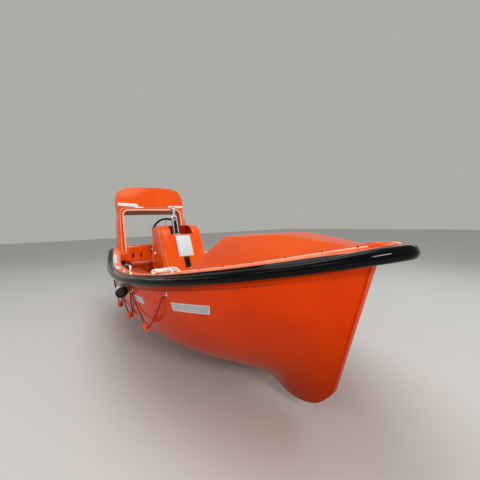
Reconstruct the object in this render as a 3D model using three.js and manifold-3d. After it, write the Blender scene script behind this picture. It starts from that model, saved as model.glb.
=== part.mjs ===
import * as THREE from 'three';
import Module from 'manifold-3d';

const wasm = await Module();
wasm.setup();

// Driving dimensions in millimetres: X forward, Y to port, Z up from the waterline
const GAP = 0.4;
const SHEER_BOW = 2205;
const SHEER_STERN = -2230;
const SHEER_LENGTH = SHEER_BOW - SHEER_STERN;
const SHEER_HALF = 932;
const WIDEST = 0.45;
const STERN_HALF = 640;
const BOW_POWER = 1.729;
const BOW_ROOT = 1.574;
const STERN_POWER = 1.94;
const CORNER_RADIUS = 210;
const SHEER_Z = { bow: 750, middle: 422, stern: 401 };
const STERN_LIFT = { from: -1230, rise: 135 };

const FENDER_DEPTH = 70;
const FENDER_HEIGHT = 67;
const HULL_INSET = 36;
const HULL_SKIN = 12;
const LEDGE_DROP = 68;
const LEDGE_DROP_BOW = 42;
const LEDGE_SIDE = 14;
const LEDGE_BOW = 135;
const GUNWALE_RISE = 38;
const DECK_INNER = 140;
const DECK_RISE = 44;
const LIP_RISE = 47;
const WALL_DROP = 50;

const SOLE_TOP = 50;
const SOLE_THICK = 12;
const LINER_SKIN = 10;
const COVER_AFT = 955;
const BENCH_BACK = -1760;
const BENCH_FRONT = -1380;
const BENCH_TOP = 392;
const BACKREST_TOP = 607;

// Centre line of the hull bottom, the straight stem above it and the keel band below it, x and z
const BOTTOM_LINE = [
  [-2194, -150], [-1900, -172], [-1500, -215], [-1000, -262], [-500, -292], [0, -304], [670, -296],
  [900, -299], [1030, -293], [1120, -297], [1200, -325], [1300, -349], [1400, -349], [1500, -327],
  [1568, -300], [1630, -253], [1680, -205], [1720, -155],
];
const STEM_FOOT = [1720, -155];
const KEEL_HALF = 25;
const FOREFOOT_HALF = 15;
const STEM_HEAD_HALF = 22;
const BAND_AFT = -1560;
const BAND_LINE = [[BAND_AFT, -428], [0, -385], [500, -350], [700, -324], [790, -306]];

const ORANGE = 0xe8590f;
const COLORS = {
  gelcoat: ORANGE, deck: 0xf06a20, rubber: 0x0c0c0d, steel: 0xc9ccd0, bronze: 0xa8843f,
  white: 0xe8e8e4, black: 0x151515, red: 0xc21a12, inner: 0xb8420d, rope: 0x6e1a12, grey: 0x8a8f94,
};

const boat = new THREE.Group();
boat.name = 'rescue_boat';

// Helpers that turn points into closed bodies

function meshOf(name, geometry, color) {
  const mesh = new THREE.Mesh(geometry, new THREE.MeshStandardMaterial({ color: COLORS[color] }));
  mesh.name = name;
  boat.add(mesh);
  return mesh;
}

function geometryOf(points, triangles) {
  const geometry = new THREE.BufferGeometry();
  geometry.setAttribute('position', new THREE.Float32BufferAttribute(points.flat(), 3));
  geometry.setIndex(triangles.flat());
  geometry.computeVertexNormals();
  return geometry;
}

function signedVolume(points, triangles) {
  let sum = 0;
  for (const [a, b, c] of triangles) {
    const [p, q, r] = [points[a], points[b], points[c]];
    sum += p[0] * (q[1] * r[2] - q[2] * r[1]) - p[1] * (q[0] * r[2] - q[2] * r[0])
      + p[2] * (q[0] * r[1] - q[1] * r[0]);
  }
  return sum / 6;
}

function outward(points, triangles) {
  if (signedVolume(points, triangles) < 0) {
    return geometryOf(points, triangles.map(([a, b, c]) => [a, c, b]));
  }
  return geometryOf(points, triangles);
}

// Rings of equal point count joined side by side; shape2d flattens a ring for its end caps
function loft(rings, shape2d) {
  const count = rings[0].length;
  const points = rings.flat();
  const triangles = [];
  for (let i = 0; i + 1 < rings.length; i += 1) {
    for (let j = 0; j < count; j += 1) {
      const k = (j + 1) % count;
      const [a, b, c, d] = [i * count + j, i * count + k, (i + 1) * count + k, (i + 1) * count + j];
      triangles.push([a, b, c], [a, c, d]);
    }
  }
  const flat = shape2d.map(([u, v]) => new THREE.Vector2(u, v));
  const last = (rings.length - 1) * count;
  const clockwise = THREE.ShapeUtils.isClockWise(flat);
  for (const [a, b, c] of THREE.ShapeUtils.triangulateShape(flat, [])) {
    triangles.push(clockwise ? [a, b, c] : [a, c, b]);
    triangles.push(clockwise ? [last + a, last + c, last + b] : [last + a, last + b, last + c]);
  }
  const fixed = matchWinding(points, triangles);
  return outward(points, fixed);
}

// Caps are turned, where needed, so that every edge is used once each way
function matchWinding(points, triangles) {
  const edges = new Map();
  triangles.forEach((triangle, index) => {
    for (let j = 0; j < 3; j += 1) {
      const pair = [triangle[j], triangle[(j + 1) % 3]];
      const key = Math.min(...pair) + '_' + Math.max(...pair);
      if (!edges.has(key)) edges.set(key, []);
      edges.get(key).push([index, pair[0] < pair[1]]);
    }
  });
  const turned = new Array(triangles.length).fill(null);
  turned[0] = false;
  const queue = [0];
  while (queue.length) {
    const index = queue.pop();
    const triangle = triangles[index];
    for (let j = 0; j < 3; j += 1) {
      const pair = [triangle[j], triangle[(j + 1) % 3]];
      const uses = edges.get(Math.min(...pair) + '_' + Math.max(...pair));
      const mine = uses.find((use) => use[0] === index);
      for (const [other, way] of uses) {
        if (other !== index && turned[other] === null) {
          turned[other] = (way === mine[1]) !== turned[index];
          queue.push(other);
        }
      }
    }
  }
  return triangles.map((triangle, i) => (turned[i] ? [triangle[0], triangle[2], triangle[1]] : triangle));
}

// A flat outline pushed along an axis: 'y' takes x,z pairs, 'x' takes y,z pairs, 'z' takes x,y pairs
function prism(outline, axis, from, to, holes = []) {
  const shape = new THREE.Shape(outline.map(([u, v]) => new THREE.Vector2(u, v)));
  for (const hole of holes) {
    shape.holes.push(new THREE.Path(hole.map(([u, v]) => new THREE.Vector2(u, v))));
  }
  const geometry = new THREE.ExtrudeGeometry(shape, { depth: to - from, bevelEnabled: false });
  const source = geometry.getAttribute('position');
  const index = new Map();
  const points = [];
  const order = [];
  for (let i = 0; i < source.count; i += 1) {
    const [u, v, w] = [source.getX(i), source.getY(i), source.getZ(i) + from];
    const point = { x: [w, u, v], y: [u, w, v], z: [u, v, w] }[axis];
    const key = point.map((value) => Math.round(value * 1e3)).join();
    if (!index.has(key)) {
      index.set(key, points.length);
      points.push(point);
    }
    order.push(index.get(key));
  }
  const triangles = [];
  for (let i = 0; i < order.length; i += 3) {
    triangles.push([order[i], order[i + 1], order[i + 2]]);
  }
  const kept = triangles.filter(([a, b, c]) => a !== b && b !== c && c !== a);
  return outward(points, kept);
}

function block(from, to) {
  const [x0, y0, z0] = from;
  const [x1, y1, z1] = to;
  return prism([[x0, y0], [x1, y0], [x1, y1], [x0, y1]], 'z', z0, z1);
}

// A round bar or tube between two points
function rod(from, to, radius, sides = 16, radiusEnd = radius) {
  const a = new THREE.Vector3(...from);
  const b = new THREE.Vector3(...to);
  const length = a.distanceTo(b);
  const geometry = new THREE.CylinderGeometry(radiusEnd, radius, length, sides);
  const turn = new THREE.Quaternion().setFromUnitVectors(
    new THREE.Vector3(0, 1, 0),
    b.clone().sub(a).normalize(),
  );
  geometry.applyQuaternion(turn);
  geometry.translate((a.x + b.x) / 2, (a.y + b.y) / 2, (a.z + b.z) / 2);
  return geometry;
}

// A bent bar along a list of points
function bent(points, radius, sides = 8) {
  const rings = [];
  const flat = [];
  const at = points.map((p) => new THREE.Vector3(...p));
  let side = null;
  for (let i = 0; i < at.length; i += 1) {
    const ahead = at[Math.min(i + 1, at.length - 1)].clone().sub(at[Math.max(i - 1, 0)]).normalize();
    if (!side) {
      side = Math.abs(ahead.z) < 0.9 ? new THREE.Vector3(0, 0, 1) : new THREE.Vector3(1, 0, 0);
    }
    side = side.clone().sub(ahead.clone().multiplyScalar(side.dot(ahead))).normalize();
    const other = ahead.clone().cross(side);
    const ring = [];
    for (let j = 0; j < sides; j += 1) {
      const angle = (j / sides) * Math.PI * 2;
      const point = at[i].clone()
        .addScaledVector(side, radius * Math.cos(angle))
        .addScaledVector(other, radius * Math.sin(angle));
      ring.push([point.x, point.y, point.z]);
      if (i === 0) flat.push([Math.cos(angle), Math.sin(angle)]);
    }
    rings.push(ring);
  }
  return loft(rings, flat);
}

// A round form turned about an axis, from radius and distance pairs
function turned(profile, sides = 24) {
  const rings = profile.map(([r, h]) => {
    const ring = [];
    for (let j = 0; j < sides; j += 1) {
      const angle = (j / sides) * Math.PI * 2;
      ring.push([r * Math.cos(angle), r * Math.sin(angle), h]);
    }
    return ring;
  });
  const flat = rings[0].map(([x, y]) => [x, y]);
  return loft(rings, flat);
}

function toSolid(geometry) {
  const source = geometry.getAttribute('position');
  const order = geometry.index ? Array.from(geometry.index.array) : [...Array(source.count).keys()];
  const map = new Map();
  const verts = [];
  const tris = order.map((i) => {
    const point = [source.getX(i), source.getY(i), source.getZ(i)];
    const key = point.map((value) => Math.round(value * 1e3)).join();
    if (!map.has(key)) {
      map.set(key, verts.length / 3);
      verts.push(...point);
    }
    return map.get(key);
  });
  const kept = [];
  for (let i = 0; i < tris.length; i += 3) {
    const [a, b, c] = [tris[i], tris[i + 1], tris[i + 2]];
    if (a !== b && b !== c && c !== a) kept.push(a, b, c);
  }
  return new wasm.Manifold(new wasm.Mesh({
    numProp: 3, vertProperties: new Float32Array(verts), triVerts: new Uint32Array(kept),
  }));
}

function fromSolid(solid) {
  const mesh = solid.getMesh();
  const points = [];
  for (let i = 0; i < mesh.vertProperties.length; i += mesh.numProp) {
    points.push(Array.from(mesh.vertProperties.slice(i, i + 3)));
  }
  const triangles = [];
  for (let i = 0; i < mesh.triVerts.length; i += 3) {
    triangles.push(Array.from(mesh.triVerts.slice(i, i + 3)));
  }
  return geometryOf(points, triangles);
}

const join = (...parts) => fromSolid(wasm.Manifold.union(parts.map(toSolid)));
const cut = (base, ...tools) => fromSolid(toSolid(base).subtract(wasm.Manifold.union(tools.map(toSolid))));

const mix = (a, b, t) => a + (b - a) * t;
const clamp = (value, low, high) => Math.min(high, Math.max(low, value));
const smooth = (t) => t * t * (3 - 2 * t);

function readLine(line, x) {
  let i = 0;
  while (i + 2 < line.length && line[i + 1][0] < x) i += 1;
  const [[x0, z0], [x1, z1]] = [line[i], line[i + 1]];
  return mix(z0, z1, clamp((x - x0) / (x1 - x0), 0, 1));
}

// Rise of the sheer towards the stern, above its long curve
const sternLift = (x) => (
  STERN_LIFT.rise * smooth(clamp((STERN_LIFT.from - x) / (STERN_LIFT.from - SHEER_STERN), 0, 1))
);

// The sheer: s runs from 0 at the stem to 1 at the transom
function sheer(s) {
  const x = SHEER_BOW - SHEER_LENGTH * s;
  const forward = (1 - Math.max(0, 1 - s / WIDEST) ** BOW_POWER) ** (1 / BOW_ROOT);
  const aftShare = Math.max(0, (s - WIDEST) / (1 - WIDEST));
  const back = 1 - (1 - STERN_HALF / SHEER_HALF) * aftShare ** STERN_POWER;
  const reach = clamp(SHEER_STERN + CORNER_RADIUS - x, 0, CORNER_RADIUS);
  const rounding = CORNER_RADIUS - Math.sqrt(CORNER_RADIUS ** 2 - reach ** 2);
  const y = SHEER_HALF * (s < WIDEST ? forward : back) - rounding;
  const z = SHEER_Z.bow * 2 * (s - 0.5) * (s - 1) - SHEER_Z.middle * 4 * s * (s - 1)
    + SHEER_Z.stern * 2 * s * (s - 0.5);
  return [x, y, z + sternLift(x)];
}

const BOW_STEPS = 16;
const SIDE_STEPS = 10;
const CORNER_STEPS = 6;

function sheerParameters() {
  const list = [];
  for (let i = 0; i < BOW_STEPS; i += 1) {
    list.push(WIDEST * (1 - Math.cos((i / BOW_STEPS) * Math.PI / 2)));
  }
  const cornerStart = 1 - CORNER_RADIUS / SHEER_LENGTH;
  for (let i = 0; i < SIDE_STEPS; i += 1) list.push(mix(WIDEST, cornerStart, i / SIDE_STEPS));
  for (let i = 0; i <= CORNER_STEPS; i += 1) {
    list.push(mix(cornerStart, 1, Math.sin((i / CORNER_STEPS) * Math.PI / 2)));
  }
  return list;
}

// Plan path of the starboard sheer with its outward direction, then across the transom to the centre line
const STATIONS = sheerParameters();
function sheerPath() {
  const path = STATIONS.map((s) => sheer(s));
  const half = path.map(([x, y, z]) => ({ at: [x, -y, z] }));
  const lastY = path[path.length - 1][1];
  const lastZ = path[path.length - 1][2];
  half.push({ at: [SHEER_STERN, -lastY / 2, lastZ] });
  half.push({ at: [SHEER_STERN, 0, lastZ] });
  half.forEach((entry, i) => {
    const before = half[Math.max(0, i - 1)].at;
    const after = half[Math.min(half.length - 1, i + 1)].at;
    let tangent = [after[0] - before[0], after[1] - before[1]];
    if (i === 0) tangent = [0, -1];
    if (i >= half.length - 2) tangent = [0, 1];
    const size = Math.hypot(...tangent);
    entry.out = [-tangent[1] / size, tangent[0] / size];
  });
  return half;
}
const PATH = sheerPath();

// A point beside the sheer; near the stem the inward ones are kept off the centre line
const CENTRE_SHARE = 0.2;
function beside(i, side, o, up, x = PATH[i].at[0], y = PATH[i].at[1]) {
  const { at, out } = PATH[i];
  const half = Math.max(-(y + out[1] * o), i > 0 && i < BOW_SPLIT ? -y * CENTRE_SHARE : 0);
  return [x + out[0] * o, -half * side, at[2] + up];
}

// A strip with one section carried along a run of sheer places, each a station and a side;
// the foot of the inner wall keeps to the long curve where the sheer rises
const WALL_FOOT = -WALL_DROP;
const wallUp = (i, up) => (up === WALL_FOOT ? up - sternLift(PATH[i].at[0]) : up);
function sheerStrip(section, places, trim) {
  const rings = places.map(([i, side], n) => {
    let [x, y] = PATH[i].at;
    if (n === 0 || n === places.length - 1) {
      const inner = PATH[places[n === 0 ? 1 : n - 1][0]].at;
      const size = Math.hypot(inner[0] - x, inner[1] - y);
      x += (inner[0] - x) / size * trim;
      y += (inner[1] - y) / size * trim;
    }
    return section.map(([o, up]) => beside(i, side, o, wallUp(i, up), x, y));
  });
  return loft(rings, section);
}

const BOW_SPLIT = 8;
const STERN_SPLIT = BOW_STEPS + SIDE_STEPS - 1;
const END = PATH.length - 1;
const bowPlaces = [];
for (let i = BOW_SPLIT; i > 0; i -= 1) bowPlaces.push([i, 1]);
for (let i = 0; i <= BOW_SPLIT; i += 1) bowPlaces.push([i, -1]);
const sternPlaces = [];
for (let i = STERN_SPLIT; i < END; i += 1) sternPlaces.push([i, 1]);
for (let i = END; i >= STERN_SPLIT; i -= 1) sternPlaces.push([i, -1]);
const sidePlaces = (side) => {
  const list = [];
  for (let i = BOW_SPLIT; i <= STERN_SPLIT; i += 1) list.push([i, side]);
  return list;
};
const RUNS = [
  ['bow', bowPlaces], ['stern', sternPlaces], ['starboard', sidePlaces(1)], ['port', sidePlaces(-1)],
];

// Hull skin

const SECTION_STEPS = 11;
const BOW_END = 0.35;
const FOOT_POWER = 1.15;
const BOW_FLARE = 0.13;

// Station, then breadth and height shares of the section's lower and upper control points
const SECTION_SHAPE = [
  [0.000, 0.330, 0.330, 0.660, 0.670],
  [0.030, 0.250, 0.330, 0.650, 0.720],
  [0.100, 0.205, 0.339, 0.658, 0.686],
  [0.200, 0.154, 0.098, 0.720, 0.254],
  [0.265, 0.192, 0.086, 0.824, 0.172],
  [0.340, 0.383, 0.131, 0.972, 0.222],
  [0.400, 0.521, 0.169, 0.994, 0.287],
  [1.000, 0.521, 0.169, 0.994, 0.287],
];

function sectionShape(s) {
  const column = (k) => readLine(SECTION_SHAPE.map((row) => [row[0], row[k]]), s);
  return [1, 2, 3, 4].map(column);
}

function keelHalf(x) {
  return mix(KEEL_HALF, FOREFOOT_HALF, clamp((x - 900) / 300, 0, 1));
}

const BAND_LEAST = 4;
function stemX(z) {
  const [x, low] = STEM_FOOT;
  const head = SHEER_BOW - HULL_INSET - LEDGE_BOW;
  return mix(x, head, (z - low) / (SHEER_Z.bow - LEDGE_DROP_BOW - low));
}

// One side of a hull section from the keel up to the ledge, then the ledge and the band behind the fender
function hullSection(s, i) {
  const [sx, sy, sz] = sheer(s);
  const { out } = PATH[i];
  const bow = 1 - smooth(clamp(s / BOW_FLARE, 0, 1));
  const inset = HULL_INSET + mix(LEDGE_SIDE, LEDGE_BOW, bow);
  const ledgeZ = sz - mix(LEDGE_DROP, LEDGE_DROP_BOW, bow);
  const place = (o, z, least) => [sx - out[0] * o, Math.max(least, sy + out[1] * o), z];
  const top = place(inset, ledgeZ, STEM_HEAD_HALF + i * 0.5);
  let keel = [top[0], KEEL_HALF, readLine(BOTTOM_LINE, top[0])];
  if (s < BOW_END) {
    const start = SHEER_BOW - SHEER_LENGTH * BOW_END;
    const line = BOTTOM_LINE.filter(([x]) => x > start);
    line.unshift([start, readLine(BOTTOM_LINE, start)]);
    const [x, z] = alongLine(line, (1 - s / BOW_END) ** FOOT_POWER);
    keel = [x, keelHalf(x), z];
  }
  const [f1, g1, f2, g2] = sectionShape(s);
  const span = top.map((value, axis) => value - keel[axis]);
  const control = (f, g) => [
    keel[0] + span[0] * (i === 0 ? g : f), keel[1] + span[1] * f, keel[2] + span[2] * g,
  ];
  const [c1, c2] = [control(f1, g1), control(f2, g2)];
  const points = [];
  for (let n = 0; n <= SECTION_STEPS; n += 1) {
    const t = n / SECTION_STEPS;
    const q = 1 - t;
    points.push([0, 1, 2].map((axis) => q ** 3 * keel[axis] + 3 * q * q * t * c1[axis]
      + 3 * q * t * t * c2[axis] + t ** 3 * top[axis]));
  }
  const rimZ = sz + GUNWALE_RISE - sternLift(sx) / 60;
  points.push(place(HULL_INSET, ledgeZ, BAND_LEAST), place(HULL_INSET, rimZ, BAND_LEAST));
  return points;
}

function alongLine(line, fraction) {
  const sizes = line.slice(1).map(([x, z], i) => Math.hypot(x - line[i][0], z - line[i][1]));
  let rest = fraction * sizes.reduce((sum, value) => sum + value, 0);
  for (let i = 0; i < sizes.length; i += 1) {
    if (rest <= sizes[i] || i === sizes.length - 1) {
      const t = clamp(rest / sizes[i], 0, 1);
      return [mix(line[i][0], line[i + 1][0], t), mix(line[i][1], line[i + 1][1], t)];
    }
    rest -= sizes[i];
  }
  return line[0];
}

const HULL = STATIONS.map(hullSection);

// Half breadth of the outer skin at a place along the boat and a height
function hullHalf(x, z) {
  let best = FOREFOOT_HALF;
  for (let i = 0; i + 1 < HULL.length; i += 1) {
    for (let j = 0; j + 1 < HULL[i].length; j += 1) {
      const quad = [HULL[i][j], HULL[i + 1][j], HULL[i + 1][j + 1], HULL[i][j + 1]];
      for (const [a, b, c] of [[0, 1, 2], [0, 2, 3]]) {
        const [p, q, r] = [quad[a], quad[b], quad[c]];
        const det = (q[2] - r[2]) * (p[0] - r[0]) + (r[0] - q[0]) * (p[2] - r[2]);
        if (Math.abs(det) < 1e-9) continue;
        const u = ((q[2] - r[2]) * (x - r[0]) + (r[0] - q[0]) * (z - r[2])) / det;
        const v = ((r[2] - p[2]) * (x - r[0]) + (p[0] - r[0]) * (z - r[2])) / det;
        if (u < -1e-6 || v < -1e-6 || u + v > 1 + 1e-6) continue;
        best = Math.max(best, u * p[1] + v * q[1] + (1 - u - v) * r[1]);
      }
    }
  }
  return best;
}

// Inner face of the skin, point by point; the ledge is moved squarely and the stem keeps its thickness
function innerSkin(section, i) {
  const rows = HULL.length;
  const cols = section.length;
  const { out } = PATH[i];
  return section.map((point, j) => {
    if (j >= cols - 3) {
      const half = Math.max(BAND_LEAST / 2, point[1] + out[1] * HULL_SKIN);
      return [point[0] - out[0] * HULL_SKIN, half, point[2] + (j === cols - 1 ? 0 : HULL_SKIN)];
    }
    const [a, b] = [HULL[Math.max(0, i - 1)][j], HULL[Math.min(rows - 1, i + 1)][j]];
    const [c, d] = [section[Math.max(0, j - 1)], section[j + 1]];
    const along = new THREE.Vector3(b[0] - a[0], b[1] - a[1], b[2] - a[2]);
    const around = new THREE.Vector3(d[0] - c[0], d[1] - c[1], d[2] - c[2]);
    const normal = around.cross(along).normalize();
    if (normal.y < 0 && j > 2) normal.negate();
    if (j <= 2 && normal.z > 0) normal.negate();
    const [x, y, z] = [0, 1, 2].map((axis) => point[axis] - normal.getComponent(axis) * HULL_SKIN);
    const limit = z > STEM_FOOT[1] ? stemX(z) - HULL_SKIN - 4 - i * 2 : x;
    return [Math.min(x, limit), j === 0 ? keelHalf(x) * 0.8 : Math.max(2 + i, y), z];
  });
}

function hullShell() {
  const rows = HULL.length;
  const cols = HULL[0].length;
  const mirrored = ([x, y, z]) => [x, -y, z];
  const rings = HULL.map((section, i) => {
    const inner = innerSkin(section, i);
    return [
      ...[...section].reverse(), ...section.map(mirrored), ...[...inner].reverse().map(mirrored), ...inner,
    ];
  });
  const count = rings[0].length;
  const points = rings.flat();
  const triangles = [];
  const quad = (a, b, c, d) => triangles.push([a, b, c], [a, c, d]);
  for (let i = 0; i + 1 < rows; i += 1) {
    for (let j = 0; j < count; j += 1) {
      const k = (j + 1) % count;
      quad(i * count + j, i * count + k, (i + 1) * count + k, (i + 1) * count + j);
    }
  }
  for (let j = 0; j + 1 < cols; j += 1) {
    quad(j, j + 1, cols * 2 - 2 - j, cols * 2 - 1 - j);
    quad(cols * 2 + j, cols * 2 + j + 1, count - 2 - j, count - 1 - j);
  }
  quad(0, cols * 2 - 1, cols * 2, count - 1);
  const base = (rows - 1) * count;
  for (let j = 0; j + 1 < cols * 2; j += 1) {
    quad(base + j, base + j + 1, base + count - 2 - j, base + count - 1 - j);
  }
  return outward(points, matchWinding(points, triangles));
}
meshOf('hull_shell', hullShell(), 'gelcoat');

// Transom board inside the aft end of the skin
const TRANSOM_THICK = 18;
const TRANSOM_INSET = HULL_SKIN - 0.9;
const sternSection = HULL[HULL.length - 1].map(([, y, z]) => [y, z]);
const sternX = HULL[HULL.length - 1][0][0];
const sternEnd = sternSection.length - 1;
const transomHalf = sternSection.map(([y, z], i) => {
  const before = sternSection[Math.max(0, i - 1)];
  const after = sternSection[Math.min(sternEnd, i + 1)];
  const size = Math.hypot(after[0] - before[0], after[1] - before[1]);
  const inward = [-(after[1] - before[1]) / size, (after[0] - before[0]) / size];
  return [y + inward[0] * TRANSOM_INSET, i === 0 ? z + TRANSOM_INSET : z + inward[1] * TRANSOM_INSET];
});
transomHalf[sternEnd][1] = sternSection[sternEnd][1];
const transomOutline = [...transomHalf, ...[...transomHalf].reverse().map(([y, z]) => [-y, z])];
meshOf('transom', prism(transomOutline, 'x', sternX + GAP, sternX + TRANSOM_THICK), 'gelcoat');

// Keel band under the hull, deeper aft to carry the shaft
const BAND_GAP = 0.4;
const bandEnd = BAND_LINE[BAND_LINE.length - 1][0];
const bandTop = HULL.map(([[x, , z]]) => [x, z - BAND_GAP])
  .filter(([x]) => x > BAND_AFT + 20 && x < bandEnd - 20);
meshOf('keel_band', prism([
  ...BAND_LINE,
  [bandEnd, readLine(BOTTOM_LINE, bandEnd) - BAND_GAP],
  ...bandTop,
  [BAND_AFT, readLine(BOTTOM_LINE, BAND_AFT) - BAND_GAP - 4],
], 'y', -KEEL_HALF, KEEL_HALF), 'gelcoat');

// Rubber fender, one run a side with the bow and the stern bends apart
const fenderHalf = FENDER_HEIGHT / 2;
const fenderSection = [
  [-0.5, -1], [0.0, -1], [0.32, -0.8], [0.46, -0.42], [0.5, 0],
  [0.46, 0.42], [0.32, 0.8], [0.0, 1], [-0.5, 1],
].map(([o, up]) => [o * FENDER_DEPTH, up * fenderHalf]);
for (const [name, places] of RUNS) {
  meshOf(`fender_${name}`, sheerStrip(fenderSection, places, GAP / 2), 'rubber');
}

// Side deck with its raised inner lip
const deckSection = [
  [-HULL_INSET, GUNWALE_RISE + 0.6], [-HULL_INSET, DECK_RISE], [-96, DECK_RISE], [-104, LIP_RISE],
  [-132, LIP_RISE], [-DECK_INNER, LIP_RISE - 5], [-DECK_INNER, -WALL_DROP], [-130, -WALL_DROP],
  [-130, LIP_RISE - 11], [-106, LIP_RISE - 8], [-98, GUNWALE_RISE + 0.9],
];
const bowDeckSection = deckSection.filter(([, up]) => up > 0);
for (const [name, places] of RUNS) {
  const section = name === 'bow' ? bowDeckSection : deckSection;
  meshOf(`gunwale_${name}`, sheerStrip(section, places, GAP / 2), 'deck');
}

// A line beside the sheer at a place along the boat: half breadth, and height of the sheer's long curve
function innerEdge(x, o = DECK_INNER) {
  const points = PATH.slice(0, END - 1).map((entry, i) => {
    const [px, py] = beside(i, -1, -o, 0);
    return [px, Math.abs(py), entry.at[2] - sternLift(entry.at[0])];
  });
  for (let i = 0; i + 1 < points.length; i += 1) {
    const [a, b] = [points[i], points[i + 1]];
    if (x <= a[0] && x >= b[0]) {
      const t = (a[0] - x) / (a[0] - b[0]);
      return [mix(a[1], b[1], t), mix(a[2], b[2], t)];
    }
  }
  return [points[0][1], points[0][2]];
}

// Cockpit: sole, sides, benches and bulkheads
const soleStations = [];
for (let x = BENCH_BACK; x < COVER_AFT; x += 155) soleStations.push(x);
soleStations.push(COVER_AFT - 20);
const footHalf = (x) => Math.min(innerEdge(x)[0] - 12, hullHalf(x, SOLE_TOP - SOLE_THICK) - 30);

const soleOutline = [
  ...soleStations.map((x) => [x, -footHalf(x)]),
  ...[...soleStations].reverse().map((x) => [x, footHalf(x)]),
];
meshOf('cockpit_sole', prism(soleOutline, 'z', SOLE_TOP - SOLE_THICK, SOLE_TOP), 'inner');

for (const [name, side] of [['starboard', -1], ['port', 1]]) {
  const rings = soleStations.map((x) => {
    const [edge, sheerZ] = innerEdge(x);
    const [low, high] = [footHalf(x), edge];
    const base = SOLE_TOP + GAP;
    const lid = sheerZ - WALL_DROP - GAP;
    return [
      [x, side * (low - LINER_SKIN), base], [x, side * low, base],
      [x, side * high, lid], [x, side * (high - LINER_SKIN), lid],
    ];
  });
  meshOf(`liner_${name}`, loft(rings, [[0, 0], [1, 0], [1, 1], [0, 1]]), 'inner');
}

// Raised foredeck cover on the lip: half breadth and height of its shoulder, and height on the centre line
const COVER = [
  { x: COVER_AFT, shoulder: 285, high: 814, centre: 822 },
  { x: 1190, shoulder: 225, high: 826, centre: 834 },
  { x: 1430, shoulder: 165, high: 837, centre: 845 },
  { x: 1620, shoulder: 134, high: 814, centre: 820 },
  { x: 1800, shoulder: 106, high: 792, centre: 797 },
  { x: 1960, shoulder: 80, high: 773, centre: 776 },
  { x: 2040, shoulder: 20, high: 760, centre: 760 },
  { x: 2084, shoulder: 6, high: 760, centre: 760 },
];
const COVER_SKIN = 8;
const COVER_EDGE = 112;
const COVER_FOOT = 195;
const COVER_LIFT = LIP_RISE + 1;
function coverRing({ x, shoulder, high, centre }) {
  const [half, edgeZ] = innerEdge(x, COVER_EDGE);
  const [foot, footZ] = innerEdge(x, COVER_FOOT);
  const low = edgeZ + COVER_LIFT;
  const turn = Math.max(foot, half * 0.5);
  const turnZ = footZ + COVER_LIFT + 4.4;
  const knee = Math.min(shoulder, turn - 3);
  const top = Math.max(high, turnZ + 2);
  const peak = Math.max(centre, top + 1);
  const outer = [[half, low], [half, low + 3], [turn, turnZ], [knee, top], [0, peak]];
  const inner = [[turn - 2, turnZ - 4], [knee - 2, top - COVER_SKIN], [0, peak - COVER_SKIN]];
  return [
    ...outer.map(([y, z]) => [x, -y, z]), ...outer.slice(0, -1).reverse().map(([y, z]) => [x, y, z]),
    ...inner.slice(0, -1).map(([y, z]) => [x, y, z]), ...[...inner].reverse().map(([y, z]) => [x, -y, z]),
  ];
}
const coverFace = coverRing(COVER[0]).map(([, y, z]) => [y, z]);
meshOf('foredeck_cover', loft(COVER.map(coverRing), coverFace), 'gelcoat');

// Aft bulkhead, deck, bench and its backrest with hand slots
const aftDeckTop = 442.4;
const aftEdge = [-1790, -1850, -1900, -1950, -2000, -2040, -2060].map((x) => [x, innerEdge(x)[0] - 1]);
const aftDeckOutline = [...aftEdge.map(([x, y]) => [x, -y]), ...[...aftEdge].reverse()];
meshOf('aft_deck', prism(aftDeckOutline, 'z', aftDeckTop - 12, aftDeckTop), 'deck');

const aftWallHalf = Math.min(footHalf(BENCH_BACK) + 4, innerEdge(BENCH_BACK - 20)[0] - 2);
meshOf('aft_bulkhead', prism([
  [-aftWallHalf, SOLE_TOP - SOLE_THICK], [aftWallHalf, SOLE_TOP - SOLE_THICK],
  [aftWallHalf, aftDeckTop - 13], [-aftWallHalf, aftDeckTop - 13],
], 'x', BENCH_BACK - 13, BENCH_BACK - GAP), 'inner');

const REST_THICK = 40;
const benchHalf = footHalf(BENCH_BACK) - LINER_SKIN - 2;
const benchAft = BENCH_BACK + REST_THICK + 2;
const benchOutline = [
  [benchAft, SOLE_TOP + GAP], [BENCH_FRONT - 60, SOLE_TOP + GAP], [BENCH_FRONT - 16, BENCH_TOP - 70],
  [BENCH_FRONT, BENCH_TOP - 52], [BENCH_FRONT, BENCH_TOP - 14], [BENCH_FRONT - 14, BENCH_TOP],
  [benchAft, BENCH_TOP],
];
const benchCavity = [
  [benchAft + 12, SOLE_TOP - 1], [BENCH_FRONT - 74, SOLE_TOP - 1], [BENCH_FRONT - 30, BENCH_TOP - 66],
  [BENCH_FRONT - 26, BENCH_TOP - 12], [benchAft + 12, BENCH_TOP - 12],
];
meshOf('aft_bench', cut(
  prism(benchOutline, 'y', -benchHalf, benchHalf),
  prism(benchCavity, 'y', -benchHalf + 12, benchHalf - 12),
), 'inner');

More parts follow.
